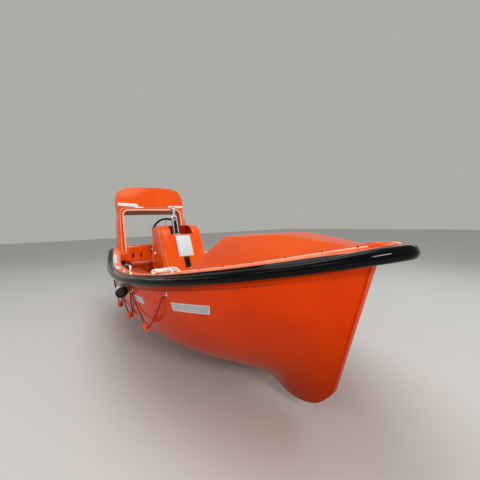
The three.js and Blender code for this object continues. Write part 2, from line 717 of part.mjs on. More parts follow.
const SLOTS = [-414, -291, 291, 414];
const SLOT_Z = 452;
const SLOT = { half: 11, rise: 36 };
const REST_HALF = Math.min(500, benchHalf);
const oval = (y, z, half, rise) => {
  const list = [];
  for (let i = 0; i < 14; i += 1) {
    const angle = (i / 14) * Math.PI * 2;
    list.push([y + half * Math.cos(angle), z + rise * Math.sin(angle)]);
  }
  return list;
};
meshOf('backrest', prism(
  [[-REST_HALF, SOLE_TOP + GAP], [REST_HALF, SOLE_TOP + GAP], [REST_HALF, BACKREST_TOP - 24],
    [REST_HALF - 7, BACKREST_TOP - 7], [REST_HALF - 24, BACKREST_TOP], [-REST_HALF + 24, BACKREST_TOP],
    [-REST_HALF + 7, BACKREST_TOP - 7], [-REST_HALF, BACKREST_TOP - 24]],
  'x', BENCH_BACK + 1, BENCH_BACK + 1 + REST_THICK, SLOTS.map((y) => oval(y, SLOT_Z, SLOT.half, SLOT.rise)),
), 'gelcoat');

// Side benches along the cockpit
const BENCH_RUN = [-1280, -900, -500, -100, 300, 620];
const SIDE_BENCH_TOP = 320;
for (const [name, side] of [['starboard', -1], ['port', 1]]) {
  const rings = BENCH_RUN.map((x) => {
    const [edge, sheerZ] = innerEdge(x);
    const lid = sheerZ - WALL_DROP - GAP;
    const slope = (edge - footHalf(x)) / (lid - SOLE_TOP);
    const low = footHalf(x) - LINER_SKIN - 7;
    const high = low + slope * (SIDE_BENCH_TOP - SOLE_TOP);
    return [
      [x, side * 470, SOLE_TOP + GAP], [x, side * low, SOLE_TOP + GAP],
      [x, side * high, SIDE_BENCH_TOP], [x, side * 440, SIDE_BENCH_TOP],
    ];
  });
  meshOf(`side_bench_${name}`, loft(rings, [[0, 0], [1, 0], [1, 1], [0, 1]]), 'inner');
}

// Forward bulkhead below the foredeck cover, with a hinged locker door
const doorFrom = [-210, 330];
const doorTo = [210, 640];
const WALL_THICK = 12;
const wallX = COVER_AFT + 2;
const wallLow = hullHalf(wallX + WALL_THICK, SOLE_TOP - SOLE_THICK) - 22;
const wallFoot = Math.min(footHalf(COVER_AFT - 20), wallLow);
const wallMiddle = Math.min(innerEdge(wallX)[0] - 2, hullHalf(wallX + WALL_THICK, 400) - 22);
const [wallEdge, wallSheer] = innerEdge(wallX + WALL_THICK);
const coverAft = COVER[0];
const wallSide = [
  [wallFoot, SOLE_TOP - SOLE_THICK], [wallMiddle, 400], [wallEdge - 2, wallSheer - WALL_DROP],
  [wallEdge - 1, wallSheer + LIP_RISE - 4], [wallEdge - 56, wallSheer + LIP_RISE - 4],
  [coverAft.shoulder - 14, coverAft.high - 24],
];
const doorHole = [
  [doorFrom[0], doorFrom[1]], [doorTo[0], doorFrom[1]], [doorTo[0], doorTo[1]], [doorFrom[0], doorTo[1]],
];
meshOf('locker_bulkhead', prism([
  ...wallSide.map(([y, z]) => [-y, z]), [0, coverAft.centre - 20], ...[...wallSide].reverse(),
], 'x', wallX, wallX + WALL_THICK, [doorHole]), 'inner');
const HINGE = { x: wallX - 10, z: doorFrom[1] + 6, radius: 6, places: [-140, 140], half: 22 };
const knuckles = HINGE.places.flatMap((y) => [
  rod([HINGE.x, y - HINGE.half, HINGE.z], [HINGE.x, y + HINGE.half, HINGE.z], HINGE.radius, 12),
  block([HINGE.x - 2, y - HINGE.half, HINGE.z + 1], [wallX + 1, y + HINGE.half, HINGE.z + 5]),
]);
meshOf('locker_door', join(
  block([wallX - 1, doorFrom[0] + 6, doorFrom[1] + 6], [wallX + 11, doorTo[0] - 6, doorTo[1] - 6]),
  ...knuckles,
), 'deck');
HINGE.places.forEach((y, i) => {
  const [low, high] = y < 0
    ? [y - HINGE.half - 20, y - HINGE.half - 0.5]
    : [y + HINGE.half + 0.5, y + HINGE.half + 20];
  meshOf(`hinge_pin_${i ? 'port' : 'starboard'}`, join(
    rod([HINGE.x, low, HINGE.z], [HINGE.x, high, HINGE.z], HINGE.radius, 12),
    block([HINGE.x - 3, low, HINGE.z - 36], [wallX - GAP, high, HINGE.z]),
  ), 'steel');
});

// Raised non-slip panel on the sole ahead of the console
meshOf('floor_panel', block([-340, -400, SOLE_TOP + GAP], [900, 400, SOLE_TOP + 8]), 'deck');

// Console over the engine, open below, with rounded sides and a notch for the lifting gear
const CONSOLE_HALF = 295;
const CONSOLE_WALL = 14;
const CONSOLE_ROUND = 55;
const consoleOutline = [
  [-1050, -60], [-1050, 50], [-1125, 600], [-1135, 830], [-1124, 870], [-1095, 895], [-1040, 908],
  [-900, 908], [-830, 895], [-760, 850], [-712, 781], [-570, 499], [-500, 361], [-440, 240],
  [-420, 50], [-420, -60],
];

// Each edge of a closed outline moved inward, corners kept
function inset(outline, distance) {
  const line = outline.map(([u, v], i) => {
    const [p, q] = outline[(i + 1) % outline.length];
    const size = Math.hypot(p - u, q - v);
    const along = [(p - u) / size, (q - v) / size];
    return { at: [u + along[1] * distance, v - along[0] * distance], along };
  });
  return line.map((here, i) => {
    const before = line[(i + line.length - 1) % line.length];
    const cross = before.along[0] * here.along[1] - before.along[1] * here.along[0];
    const gap = [here.at[0] - before.at[0], here.at[1] - before.at[1]];
    if (Math.abs(cross) < 1e-6) return here.at;
    const t = (gap[0] * here.along[1] - gap[1] * here.along[0]) / cross;
    return [before.at[0] + before.along[0] * t, before.at[1] + before.along[1] * t];
  });
}

// A side view carried across the boat with its long edges rounded over
const ROUND_STEPS = 4;
function roundedBody(outline, half, radius) {
  const sides = [];
  for (let i = 0; i <= ROUND_STEPS; i += 1) {
    const angle = (i / ROUND_STEPS) * Math.PI / 2;
    sides.push([half - radius + radius * Math.sin(angle), radius * (1 - Math.cos(angle))]);
  }
  const places = [...[...sides].reverse().map(([y, depth]) => [-y, depth]), ...sides];
  return loft(places.map(([y, depth]) => inset(outline, depth).map(([x, z]) => [x, y, z])), outline);
}

const NOTCH = { half: 154, floor: 781, back: -955 };
const consoleOuter = roundedBody(consoleOutline, CONSOLE_HALF, CONSOLE_ROUND);
const consoleInner = roundedBody(
  inset(consoleOutline, CONSOLE_WALL), CONSOLE_HALF - CONSOLE_WALL, CONSOLE_ROUND - CONSOLE_WALL,
);
const notchCup = block(
  [NOTCH.back - CONSOLE_WALL, -NOTCH.half - CONSOLE_WALL, NOTCH.floor - CONSOLE_WALL],
  [-660, NOTCH.half + CONSOLE_WALL, 1000],
);
const notchSpace = block([NOTCH.back, -NOTCH.half, NOTCH.floor], [-600, NOTCH.half, 1010]);
const belowSole = block([-1300, -400, -300], [-300, 400, SOLE_TOP + GAP]);
const consoleSolid = toSolid(consoleOuter)
  .subtract(toSolid(consoleInner).subtract(toSolid(notchCup)))
  .subtract(toSolid(notchSpace))
  .subtract(toSolid(belowSole));
meshOf('console_body', fromSolid(consoleSolid), 'gelcoat');
meshOf('engine_block', block([-1000, -220, SOLE_TOP + GAP], [-640, 220, 440]), 'grey');

// Blank placard and a black grip strap on the sloping front of the console
function onFace([x0, z0], [x1, z1], y0, y1, lift, thick) {
  const size = Math.hypot(x1 - x0, z1 - z0);
  const normal = [(z1 - z0) / size, -(x1 - x0) / size];
  const move = (x, z, distance) => [x + normal[0] * distance, z + normal[1] * distance];
  return prism([
    move(x0, z0, lift), move(x1, z1, lift), move(x1, z1, lift + thick), move(x0, z0, lift + thick),
  ], 'y', y0, y1);
}
meshOf('placard', onFace([-573, 505], [-706, 769], -100, 102, 0.5, 3), 'white');
meshOf('front_strap', onFace([-503, 367], [-569, 497], -45, 30, 0.5, 6), 'black');

// Lifting gear on the notch floor: post with a pin, hook that swings open, and its release lever
const HOOK = { x: -850, y: -40, z: 790, lean: 0.262 };
const PIN = { up: 240, radius: 9 };
const CHEEK = { from: 22, to: 34 };
function leaned(geometry) {
  geometry.rotateY(-HOOK.lean);
  geometry.translate(HOOK.x, HOOK.y, HOOK.z);
  return geometry;
}
const pinHole = () => leaned(rod([0, -60, PIN.up], [0, 60, PIN.up], PIN.radius + 0.5, 20));
const cheekOutline = [
  [-36, 8], [36, 8], [34, 130], [27, 235], [20, 262], [0, 270], [-20, 262], [-27, 235], [-34, 130],
];
meshOf('hook_post', join(
  block([HOOK.x - 60, HOOK.y - 52, NOTCH.floor + GAP], [HOOK.x + 60, HOOK.y + 52, NOTCH.floor + 16]),
  leaned(prism(cheekOutline, 'y', -CHEEK.to, -CHEEK.from)),
  leaned(prism(cheekOutline, 'y', CHEEK.from, CHEEK.to)),
  leaned(rod([0, -CHEEK.to - 6, PIN.up], [0, CHEEK.to + 6, PIN.up], PIN.radius, 20)),
), 'steel');
meshOf('hook_core', leaned(
  prism([[-27, 19], [27, 19], [23, 185], [-23, 185]], 'y', -CHEEK.from + GAP, CHEEK.from - GAP),
), 'black');
const hookOutline = [
  [-24, 218], [18, 216], [30, 238], [30, 296], [44, 330], [46, 366], [24, 396], [-14, 405], [-46, 392],
  [-56, 366], [-40, 358], [-26, 374], [-2, 380], [16, 366], [18, 342], [2, 318], [-18, 296], [-28, 248],
];
const hookBoss = leaned(rod([0, -CHEEK.from + 0.6, PIN.up], [0, CHEEK.from - 0.6, PIN.up], 19, 24));
meshOf('lifting_hook', cut(join(leaned(prism(hookOutline, 'y', -16, 16)), hookBoss), pinHole()), 'steel');
const LEVER_UP = 178;
meshOf('release_lever', join(
  leaned(rod([0, CHEEK.to + 0.5, LEVER_UP], [0, CHEEK.to + 16, LEVER_UP], 14)),
  leaned(block([-9, CHEEK.to + 7, LEVER_UP - 5], [9, CHEEK.to + 16, LEVER_UP + 84])),
  leaned(block([-15, CHEEK.to + 7, LEVER_UP + 72], [15, CHEEK.to + 34, LEVER_UP + 100])),
), 'red');

// Steering wheel and its column on the aft face of the console
const WHEEL = { x: -1192, y: -55, z: 808, radius: 205, tube: 12 };
const rim = new THREE.TorusGeometry(WHEEL.radius, WHEEL.tube, 8, 36);
const spokes = [0, 1, 2].map((i) => {
  const angle = Math.PI / 2 + (i * Math.PI * 2) / 3;
  return rod([0, 0, 0], [WHEEL.radius * Math.cos(angle), WHEEL.radius * Math.sin(angle), 0], 9, 8);
});
const wheelHub = turned([[34, -20], [34, 12], [22, 20]], 20);
const wheel = join(rim, ...spokes, wheelHub);
wheel.rotateY(-Math.PI / 2);
wheel.translate(WHEEL.x, WHEEL.y, WHEEL.z);
meshOf('steering_wheel', wheel, 'black');
const columnAt = (x) => [x, WHEEL.y, WHEEL.z];
meshOf('steering_column', rod(columnAt(WHEEL.x + 20.6), columnAt(-1135.5), 24), 'black');

// Throttle box with its lever, port of the wheel
const THROTTLE_X = -1133.3;
meshOf('throttle_lever', join(
  block([THROTTLE_X - 50, 190, 690], [THROTTLE_X, 240, 780]),
  rod([THROTTLE_X - 25, 215, 770], [THROTTLE_X - 50, 215, 885], 8, 10),
  rod([THROTTLE_X - 50, 195, 885], [THROTTLE_X - 50, 235, 885], 14, 12),
), 'black');

// Arch: a leaning frame with rounded shoulders and a raised rim round its opening
const ARCH = { x: -1850, z: 550, base: 442.8, lean: 0.3, depth: 230, rim: 20, rimRise: 12 };
const both = (line) => [...line, ...[...line].reverse().filter(([y]) => y !== 0).map(([y, z]) => [-y, z])];
const archOuter = both([
  [-598, ARCH.base], [-590, 550], [-577, 924], [-557, 1150], [-562, 1200], [-575, 1290], [-574, 1345],
  [-568, 1390], [-545, 1470], [-522, 1510], [-495, 1535], [-440, 1561], [-375, 1577], [-230, 1590],
]);
const archHole = both([
  [-476, ARCH.base], [-476, 550], [-478, 850], [-480, 1090], [-474, 1124], [-456, 1150], [-426, 1165],
  [-392, 1168],
]);
const rimOuter = both([
  [-501, ARCH.base], [-501, 550], [-502, 850], [-503, 1094], [-494, 1140], [-472, 1170], [-434, 1186],
  [-392, 1189],
]);
const rimInner = archHole.map(([y, z]) => [y * 1.003, z > ARCH.base ? z + 1 : z]);
function archBand(outer, hole, from, to) {
  const geometry = prism([...outer, ...[...hole].reverse()], 'x', from, to);
  const position = geometry.getAttribute('position');
  for (let i = 0; i < position.count; i += 1) {
    const z = position.getZ(i);
    position.setX(i, ARCH.x + position.getX(i) - (z - ARCH.z) * ARCH.lean);
  }
  return geometry;
}
// The legs' feet are cut to the side deck that they stand on
const FOOT_GAP = 1.3;
const deckLine = LIP_RISE + FOOT_GAP;
const deckInside = -DECK_INNER - FOOT_GAP;
const footCut = sheerStrip([
  [0, -250], [0, DECK_RISE + FOOT_GAP], [-96, DECK_RISE + FOOT_GAP], [-104, deckLine],
  [deckInside, deckLine], [deckInside, -250],
], sternPlaces, 0);
meshOf('arch', cut(join(
  archBand(archOuter, archHole, -ARCH.depth, 0),
  archBand(rimOuter, rimInner, -4, ARCH.rimRise),
), footCut), 'gelcoat');

// Deck handles and the strap roll across the starboard side deck
const sheerAt = (x) => sheer((SHEER_BOW - x) / SHEER_LENGTH)[2];
const HANDLE = { aft: -215, fore: 70, y: 850, rise: 66, radius: 11 };
for (const [name, side] of [['starboard', -1], ['port', 1]]) {
  const y = side * HANDLE.y;
  const foot = (x) => sheerAt(x) + DECK_RISE + 1.2;
  const [low, high] = [foot(HANDLE.aft), foot(HANDLE.fore)];
  const [lowBar, highBar] = [low + HANDLE.rise, high + HANDLE.rise];
  meshOf(`deck_handle_${name}`, bent([
    [HANDLE.aft, y, low], [HANDLE.aft, y, lowBar - 26], [HANDLE.aft + 8, y, lowBar - 7],
    [HANDLE.aft + 28, y, lowBar], [HANDLE.fore - 28, y, highBar], [HANDLE.fore - 8, y, highBar - 7],
    [HANDLE.fore, y, highBar - 26], [HANDLE.fore, y, high],
  ], HANDLE.radius, 10), 'steel');
}
const ROLL = { from: [652, -792], to: [708, -688], radius: 19 };
const rollEnd = ([x, y]) => [x, y, sheerAt(ROLL.to[0]) + LIP_RISE + ROLL.radius - 0.3];
meshOf('strap_roll', rod(rollEnd(ROLL.from), rollEnd(ROLL.to), ROLL.radius, 14), 'white');

// Round housing below the fender, pointing forward and down, on a bracket
const OUTLET = { x: 148, z: 318, radius: 54, length: 64, drop: 0.45, clear: 15 };
const outletY = -(hullHalf(OUTLET.x, OUTLET.z) + OUTLET.radius + OUTLET.clear);
const outletBack = [OUTLET.x - OUTLET.length, outletY, OUTLET.z + OUTLET.length * OUTLET.drop];
const bracketX = [OUTLET.x - 62, OUTLET.x - 14];
const bracketY = -(hullHalf(bracketX[1], OUTLET.z + 40) + GAP + 0.1);
meshOf('side_outlet', join(
  rod(outletBack, [OUTLET.x, outletY, OUTLET.z], OUTLET.radius, 24),
  block([bracketX[0], outletY, OUTLET.z - 12], [bracketX[1], bracketY, OUTLET.z + 40]),
), 'grey');

// Grab line along each side, hung in loops from five eyes; each loop's lowest half breadth is given
const EYES = [875, 270, -335, -940, -1545];
const LOOP_HALF = [844, 838, 812, 742];
const EYE_DROP = 104;
const SAG = 270;
const LINE_SEAT = 7.3;
const LINE_CLEAR = 15;
const FLARE = { from: 500, to: 875, clear: 5 };
const EYE_BEND = { radius: 30, places: [0, 10, 19, 26], drop: 15 };
const LOOP_STEPS = 8;

const eyeDrop = (u) => EYE_BEND.radius - Math.sqrt(EYE_BEND.radius ** 2 - u * u);

// Places along a loop and their depths: round over the eye, then a curve down to the middle
function loopPlaces(span) {
  const half = span / 2;
  const start = EYE_BEND.places[EYE_BEND.places.length - 1];
  const places = EYE_BEND.places.map((u) => [u, eyeDrop(u)]);
  for (let n = 1; n < LOOP_STEPS; n += 1) {
    const u = mix(start, span - start, n / LOOP_STEPS);
    places.push([u, EYE_BEND.drop + (SAG - EYE_BEND.drop) * (1 - ((half - u) / (half - start)) ** 2)]);
  }
  const back = EYE_BEND.places.slice(1).reverse();
  return [...places, ...back.map((u) => [span - u, eyeDrop(u)])];
}

function linePoint(i, u, depth, side) {
  const [from, to] = [EYES[i], EYES[i + 1]];
  const t = u / (from - to);
  const x = mix(from, to, t);
  const eyeZ = [from, to].map((place) => sheerAt(place) - EYE_DROP);
  const eyeHalf = [hullHalf(from, eyeZ[0]), hullHalf(to, eyeZ[1])];
  const z = mix(...eyeZ, t) - depth;
  const flare = FLARE.clear * clamp((x - FLARE.from) / (FLARE.to - FLARE.from), 0, 1);
  const free = mix(mix(...eyeHalf, t) + LINE_SEAT + flare, LOOP_HALF[i], depth / SAG);
  const onHull = hullHalf(x, z) + flare + mix(LINE_SEAT, LINE_CLEAR, Math.min(1, depth / EYE_BEND.drop));
  return [x, side * Math.max(free, onHull), z];
}

for (const [name, side] of [['starboard', -1], ['port', 1]]) {
  const points = [];
  for (let i = 0; i + 1 < EYES.length; i += 1) {
    for (const [u, depth] of loopPlaces(EYES[i] - EYES[i + 1])) points.push(linePoint(i, u, depth, side));
  }
  points.push(linePoint(EYES.length - 2, EYES[3] - EYES[4], 0, side));
  meshOf(`grab_line_${name}`, bent(points, 7, 8), 'rope');
}

// Propeller, shaft and rudder
const PROP = { x: -1700, z: -318, radius: 96 };
meshOf('shaft', rod([BAND_AFT - GAP, 0, PROP.z], [PROP.x + 20.6, 0, PROP.z], 16), 'steel');
const hub = turned([[20, -36], [24, -10], [24, 18], [14, 20]], 18);
hub.rotateY(Math.PI / 2);
const blades = [0, 1, 2].map((i) => {
  const blade = new THREE.BoxGeometry(12, 62, PROP.radius - 20);
  blade.rotateZ(0.5);
  blade.translate(0, 0, (PROP.radius + 16) / 2 - 2);
  blade.rotateX((i * Math.PI * 2) / 3);
  return blade;
});
const propeller = join(hub, ...blades);
propeller.translate(PROP.x, 0, PROP.z);
meshOf('propeller', propeller, 'bronze');

const RUDDER_X = -1930;
meshOf('rudder', join(
  prism([[-2040, -400], [-1880, -410], [-1872, -225], [-2020, -210]], 'y', -11, 11),
  rod([RUDDER_X, 0, -230], [RUDDER_X, 0, readLine(BOTTOM_LINE, RUDDER_X) - 3.4], 15, 14),
), 'grey');

export default boat;
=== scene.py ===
"""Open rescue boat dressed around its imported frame: metres, X forward, Y to port, Z up from the water."""
from math import copysign, cos, dist, exp, hypot, pi, radians, sin, sqrt, tau

import bmesh
import bpy
from mathutils import Matrix, Vector
from mathutils.bvhtree import BVHTree


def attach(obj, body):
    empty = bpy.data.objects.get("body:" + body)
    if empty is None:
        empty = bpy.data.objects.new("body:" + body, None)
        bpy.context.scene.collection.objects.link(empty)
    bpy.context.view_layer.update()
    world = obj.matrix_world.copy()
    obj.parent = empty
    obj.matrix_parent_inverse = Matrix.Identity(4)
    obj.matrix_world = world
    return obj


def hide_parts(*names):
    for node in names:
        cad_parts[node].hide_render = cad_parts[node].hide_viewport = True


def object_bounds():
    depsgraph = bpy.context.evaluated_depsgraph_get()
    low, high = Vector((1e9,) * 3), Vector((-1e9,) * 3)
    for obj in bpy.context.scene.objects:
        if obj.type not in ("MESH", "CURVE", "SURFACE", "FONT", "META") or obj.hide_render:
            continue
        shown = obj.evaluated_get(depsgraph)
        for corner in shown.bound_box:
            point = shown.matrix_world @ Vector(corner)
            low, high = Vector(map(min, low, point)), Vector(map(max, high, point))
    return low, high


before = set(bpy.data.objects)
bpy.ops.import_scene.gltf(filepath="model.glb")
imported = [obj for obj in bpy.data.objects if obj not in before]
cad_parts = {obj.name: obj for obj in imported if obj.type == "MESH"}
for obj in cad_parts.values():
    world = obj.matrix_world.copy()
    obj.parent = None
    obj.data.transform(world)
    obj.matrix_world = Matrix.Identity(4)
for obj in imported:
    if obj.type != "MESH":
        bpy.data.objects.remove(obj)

CAD_BOX = [list(corner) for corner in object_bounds()]
MM = 0.001
FLOOR_Z = CAD_BOX[0][2] - 0.004
SIDES = (("starboard", -1), ("port", 1))

# Camera: place, turn and lens of the view
CAMERA_AT = Vector((2.895, -1.467, 0.932))
CAMERA_YAW, CAMERA_PITCH, CAMERA_ROLL = 0.59126, -0.02764, -0.030997
FRAME_PX, FOCAL_PX, PRINCIPAL_Y = 480, 280.003, 214
SENSOR_MM = 36


def new_object(name, data):
    made = bpy.data.objects.new(name, data)
    bpy.context.scene.collection.objects.link(made)
    return made


def make_camera():
    ahead = Vector((
        -cos(CAMERA_YAW) * cos(CAMERA_PITCH),
        sin(CAMERA_YAW) * cos(CAMERA_PITCH),
        -sin(CAMERA_PITCH),
    ))
    right = ahead.cross(Vector((0, 0, 1))).normalized()
    up = right.cross(ahead)
    turn_x = right * cos(CAMERA_ROLL) + up * sin(CAMERA_ROLL)
    turn_y = up * cos(CAMERA_ROLL) - right * sin(CAMERA_ROLL)
    data = bpy.data.cameras.new("view")
    data.sensor_width = SENSOR_MM
    data.lens = SENSOR_MM * FOCAL_PX / FRAME_PX
    data.shift_y = (PRINCIPAL_Y - FRAME_PX / 2) / FRAME_PX
    data.clip_start = 0.05
    data.clip_end = 100
    camera = new_object("view", data)
    turn = Matrix((turn_x, turn_y, -ahead)).transposed().to_4x4()
    turn.translation = CAMERA_AT
    camera.matrix_world = turn
    bpy.context.scene.camera = camera
    bpy.context.scene.view_settings.view_transform = "Standard"


make_camera()


class Shader:
    """A node material with short calls for the nodes that are used here."""

    def __init__(self, name, slot, color, roughness, **values):
        self.material = bpy.data.materials.new(name)
        self.material.use_nodes = True
        self.tree = self.material.node_tree
        self.surface = self.tree.nodes["Principled BSDF"]
        self.surface.inputs["Base Color"].default_value = (*linear(color), 1)
        self.surface.inputs["Roughness"].default_value = roughness
        for key, value in values.items():
            self.surface.inputs[key.replace("_", " ")].default_value = value
        self.place = self.tree.nodes.new("ShaderNodeTexCoord").outputs["Object"]
        self.bump_from = None

    def node(self, kind, inputs, **settings):
        made = self.tree.nodes.new("ShaderNode" + kind)
        for key, value in settings.items():
            setattr(made, key, value)
        for key, value in inputs.items():
            if isinstance(value, bpy.types.NodeSocket):
                self.tree.links.new(value, made.inputs[key])
            else:
                made.inputs[key].default_value = value
        return made

    def stretched(self, scale):
        return self.node("Mapping", {"Vector": self.place, "Scale": scale}).outputs["Vector"]

    def noise(self, scale, detail=4.0, rough=0.55, vector=None):
        values = {"Vector": vector or self.place, "Scale": scale, "Detail": detail, "Roughness": rough}
        return self.node("TexNoise", values).outputs["Fac"]

    def cells(self, scale, feature="F1", metric="EUCLIDEAN"):
        values = {"Vector": self.place, "Scale": scale}
        return self.node("TexVoronoi", values, feature=feature, distance=metric).outputs["Distance"]

    def between(self, value, low, high, start=0.0, end=1.0):
        values = {"Value": value, "From Min": low, "From Max": high, "To Min": start, "To Max": end}
        return self.node("MapRange", values).outputs["Result"]

    def blend(self, fac, first, second):
        first, second = [(*linear(c), 1) if isinstance(c, tuple) else c for c in (first, second)]
        return self.node("Mix", {0: fac, 6: first, 7: second}, data_type="RGBA").outputs[2]

    def stained(self, base, other, scale, detail, low, high, amount):
        """The base colour with some of another where a noise is high."""
        return self.blend(self.between(self.noise(scale, detail, 0.7), low, high, 0.0, amount), base, other)

    def color(self, socket):
        self.tree.links.new(socket, self.surface.inputs["Base Color"])

    def rough(self, value, low, high, start, end):
        self.tree.links.new(self.between(value, low, high, start, end), self.surface.inputs["Roughness"])

    def bump(self, height, distance, strength):
        made = self.node("Bump", {"Height": height, "Distance": distance, "Strength": strength})
        if self.bump_from:
            self.tree.links.new(self.bump_from, made.inputs["Normal"])
        self.bump_from = made.outputs["Normal"]
        self.tree.links.new(self.bump_from, self.surface.inputs["Normal"])


def linear(color):
    return tuple(c / 12.92 if c <= 0.04045 else ((c + 0.055) / 1.055) ** 2.4 for c in color)


def make_gelcoat(name, slot, color, deep, pale, roughness, coat, wave=0.0011, grain=0.0,
                 tint=(1, 0.85, 0.7), specular=0.42, shade=0.0):
    """Moulded gelcoat: slow colour drift, faint dust, a soft wave from the mould and a fine orange peel; with
    shade, painted shade darkens it towards the bottom.
    """
    made = Shader(
        name, slot, color, roughness, Coat_Weight=coat, Coat_Roughness=0.06, Specular_IOR_Level=specular,
        Specular_Tint=(*linear(tint), 1),
    )
    base = made.blend(made.between(made.noise(1.6, 3.0), 0.35, 0.65), color, deep)
    base = made.stained(base, pale, 9.0, 6.0, 0.56, 0.78, 0.22)
    base = made.blend(made.between(made.cells(190.0), 0.0, 0.05, 0.16, 0.0), base, deep)
    # painted shade: the colour darkens from about 0.42 m down to -0.36 m, as if less light reached the lower
    # hull
    if shade:
        height = made.node("SeparateXYZ", {"Vector": made.place}).outputs["Z"]
        low = made.between(height, 0.42, -0.36, 0.0, shade)
        base = made.blend(low, base, tuple(c * 0.5 for c in deep))
    made.color(base)
    scuff = made.noise(26.0, 8.0, 0.65, made.stretched((1.0, 1.0, 2.4)))
    made.rough(scuff, 0.35, 0.75, roughness, roughness + 0.12)
    made.bump(made.noise(3.2, 2.0), wave, 0.5)
    made.bump(made.noise(320.0, 2.0), 0.00012, 0.35)
    if grain:
        made.bump(made.cells(260.0, metric="CHEBYCHEV"), grain, 0.6)
    return made.material


def make_inner():
    made = Shader("inner", "inner", (0.74, 0.24, 0.04), 0.4, Coat_Weight=0.2, Coat_Roughness=0.25)
    drift = made.between(made.noise(4.0, 5.0), 0.35, 0.7)
    base = made.blend(drift, (0.78, 0.27, 0.05), (0.62, 0.17, 0.03))
    made.color(made.stained(base, (0.36, 0.15, 0.06), 14.0, 8.0, 0.55, 0.8, 0.4))
    made.rough(made.noise(40.0, 6.0), 0.3, 0.7, 0.3, 0.6)
    made.bump(made.noise(70.0, 4.0), 0.0009, 0.6)
    made.bump(made.noise(9.0, 2.0), 0.002, 0.4)
    return made.material


def make_rubber():
    black = (0.012, 0.013, 0.014)
    made = Shader("rubber", "rubber", black, 0.1, Specular_IOR_Level=0.13)
    made.color(made.stained(black, (0.09, 0.09, 0.085), 11.0, 7.0, 0.55, 0.9, 0.14))
    scratch = made.noise(60.0, 6.0, 0.7, made.stretched((0.35, 0.35, 3.0)))
    made.rough(scratch, 0.3, 0.75, 0.03, 0.09)
    made.bump(made.noise(420.0, 3.0), 0.00015, 0.4)
    made.bump(made.noise(5.0, 2.0), 0.0012, 0.35)
    return made.material


def make_metal(name, color, roughness):
    made = Shader(name, name, color, roughness, Metallic=1.0)
    brushed = made.noise(90.0, 5.0, 0.6, made.stretched((1.0, 1.0, 12.0)))
    made.color(made.stained(color, tuple(c * 0.72 for c in color), 30.0, 6.0, 0.5, 0.8, 0.6))
    made.rough(brushed, 0.3, 0.7, roughness * 0.7, roughness * 1.6)
    made.bump(brushed, 0.00008, 0.4)
    return made.material


def make_coated(name, slot, color, roughness, grain=260.0, depth=0.0002, worn=0.25, specular=0.5):
    """Paint, plastic, foam or woven cloth: stained and worn, with a fine grain."""
    made = Shader(name, slot, color, roughness, Specular_IOR_Level=specular)
    made.color(made.stained(color, tuple(c * 0.6 for c in color), 22.0, 7.0, 0.5, 0.82, worn))
    made.rough(made.noise(55.0, 6.0), 0.3, 0.7, roughness * 0.8, roughness * 1.3)
    made.bump(made.noise(grain, 3.0), depth, 0.5)
    return made.material


def make_tape():
    """Retro-reflective tape: small cells sealed by fine pale lines."""
    made = Shader("tape", "white", (0.62, 0.63, 0.64), 0.3, Coat_Weight=0.6, Coat_Roughness=0.1)
    line = made.between(made.cells(230.0, "DISTANCE_TO_EDGE"), 0.03, 0.09, 0.7, 0.0)
    dirt = made.between(made.noise(24.0, 6.0), 0.4, 0.8, 0.0, 0.5)
    base = made.blend(dirt, (0.66, 0.67, 0.68), (0.45, 0.44, 0.43))
    made.color(made.blend(line, base, (0.86, 0.86, 0.85)))
    made.bump(line, 0.0002, 0.4)
    return made.material


GELCOAT = make_gelcoat(
    "gelcoat", "gelcoat", (0.95, 0.36, 0.06), (0.9, 0.3, 0.03), (0.97, 0.5, 0.24), 0.13, 0.1,
)
# The hull's gelcoat carries painted shade that darkens it towards the keel (shade).
HULL = make_gelcoat(
    "hull_gelcoat", "gelcoat", (0.93, 0.27, 0.004), (0.87, 0.225, 0.002), (0.93, 0.34, 0.04), 0.18, 0.03,
    0.0006, tint=(1, 0.5, 0.16), specular=0.24, shade=0.72,
)
COVER_COAT = make_gelcoat(
    "cover_gelcoat", "gelcoat", (0.88, 0.32, 0.035), (0.82, 0.26, 0.02), (0.93, 0.45, 0.2), 0.2, 0.02,
    tint=(1, 0.6, 0.3), specular=0.26,
)
# Painted highlight: the deck's colour is paler than the gelcoat so that its faces read as lit from above.
DECK = make_gelcoat(
    "deck", "deck", (0.97, 0.51, 0.33), (0.95, 0.42, 0.24), (0.99, 0.76, 0.66), 0.2, 0.3, 0.0008, 0.0004,
)
# Painted highlight: a pale copy of the gelcoat for rims, edges and a seam that catch the light.
PAINTED_HIGHLIGHT = make_gelcoat(
    "highlight_gelcoat", "gelcoat", (0.99, 0.74, 0.62), (0.97, 0.64, 0.5), (1.0, 0.88, 0.82), 0.15, 0.4,
)
# Painted shade: a dark copy of the gelcoat for faces and lines that lie in shade, such as the arch's opening,
# the console's notch and the line under the fender.
PAINTED_SHADE = make_gelcoat(
    "shade_gelcoat", "inner", (0.6, 0.12, 0.02), (0.48, 0.08, 0.01), (0.7, 0.2, 0.06), 0.35, 0.0,
)
INNER = make_inner()
RUBBER = make_rubber()
STEEL = make_metal("steel", (0.93, 0.94, 0.95), 0.2)
BRONZE = make_metal("bronze", (0.66, 0.5, 0.25), 0.3)
GREY = make_coated("grey_paint", "grey", (0.5, 0.52, 0.54), 0.4)
WHITE = make_coated("white_plastic", "white", (0.84, 0.88, 0.91), 0.35, worn=0.12)
BLACK = make_coated("black_plastic", "black", (0.03, 0.03, 0.033), 0.34, specular=0.25)
RED = make_coated("red_paint", "red", (0.72, 0.06, 0.04), 0.3)
ROPE = make_coated("rope", "rope", (0.56, 0.13, 0.08), 0.75, 500.0, 0.0004, 0.4)
WEBBING = make_coated("webbing", "white", (0.97, 0.95, 0.93), 0.8, 420.0, 0.0008, 0.35)
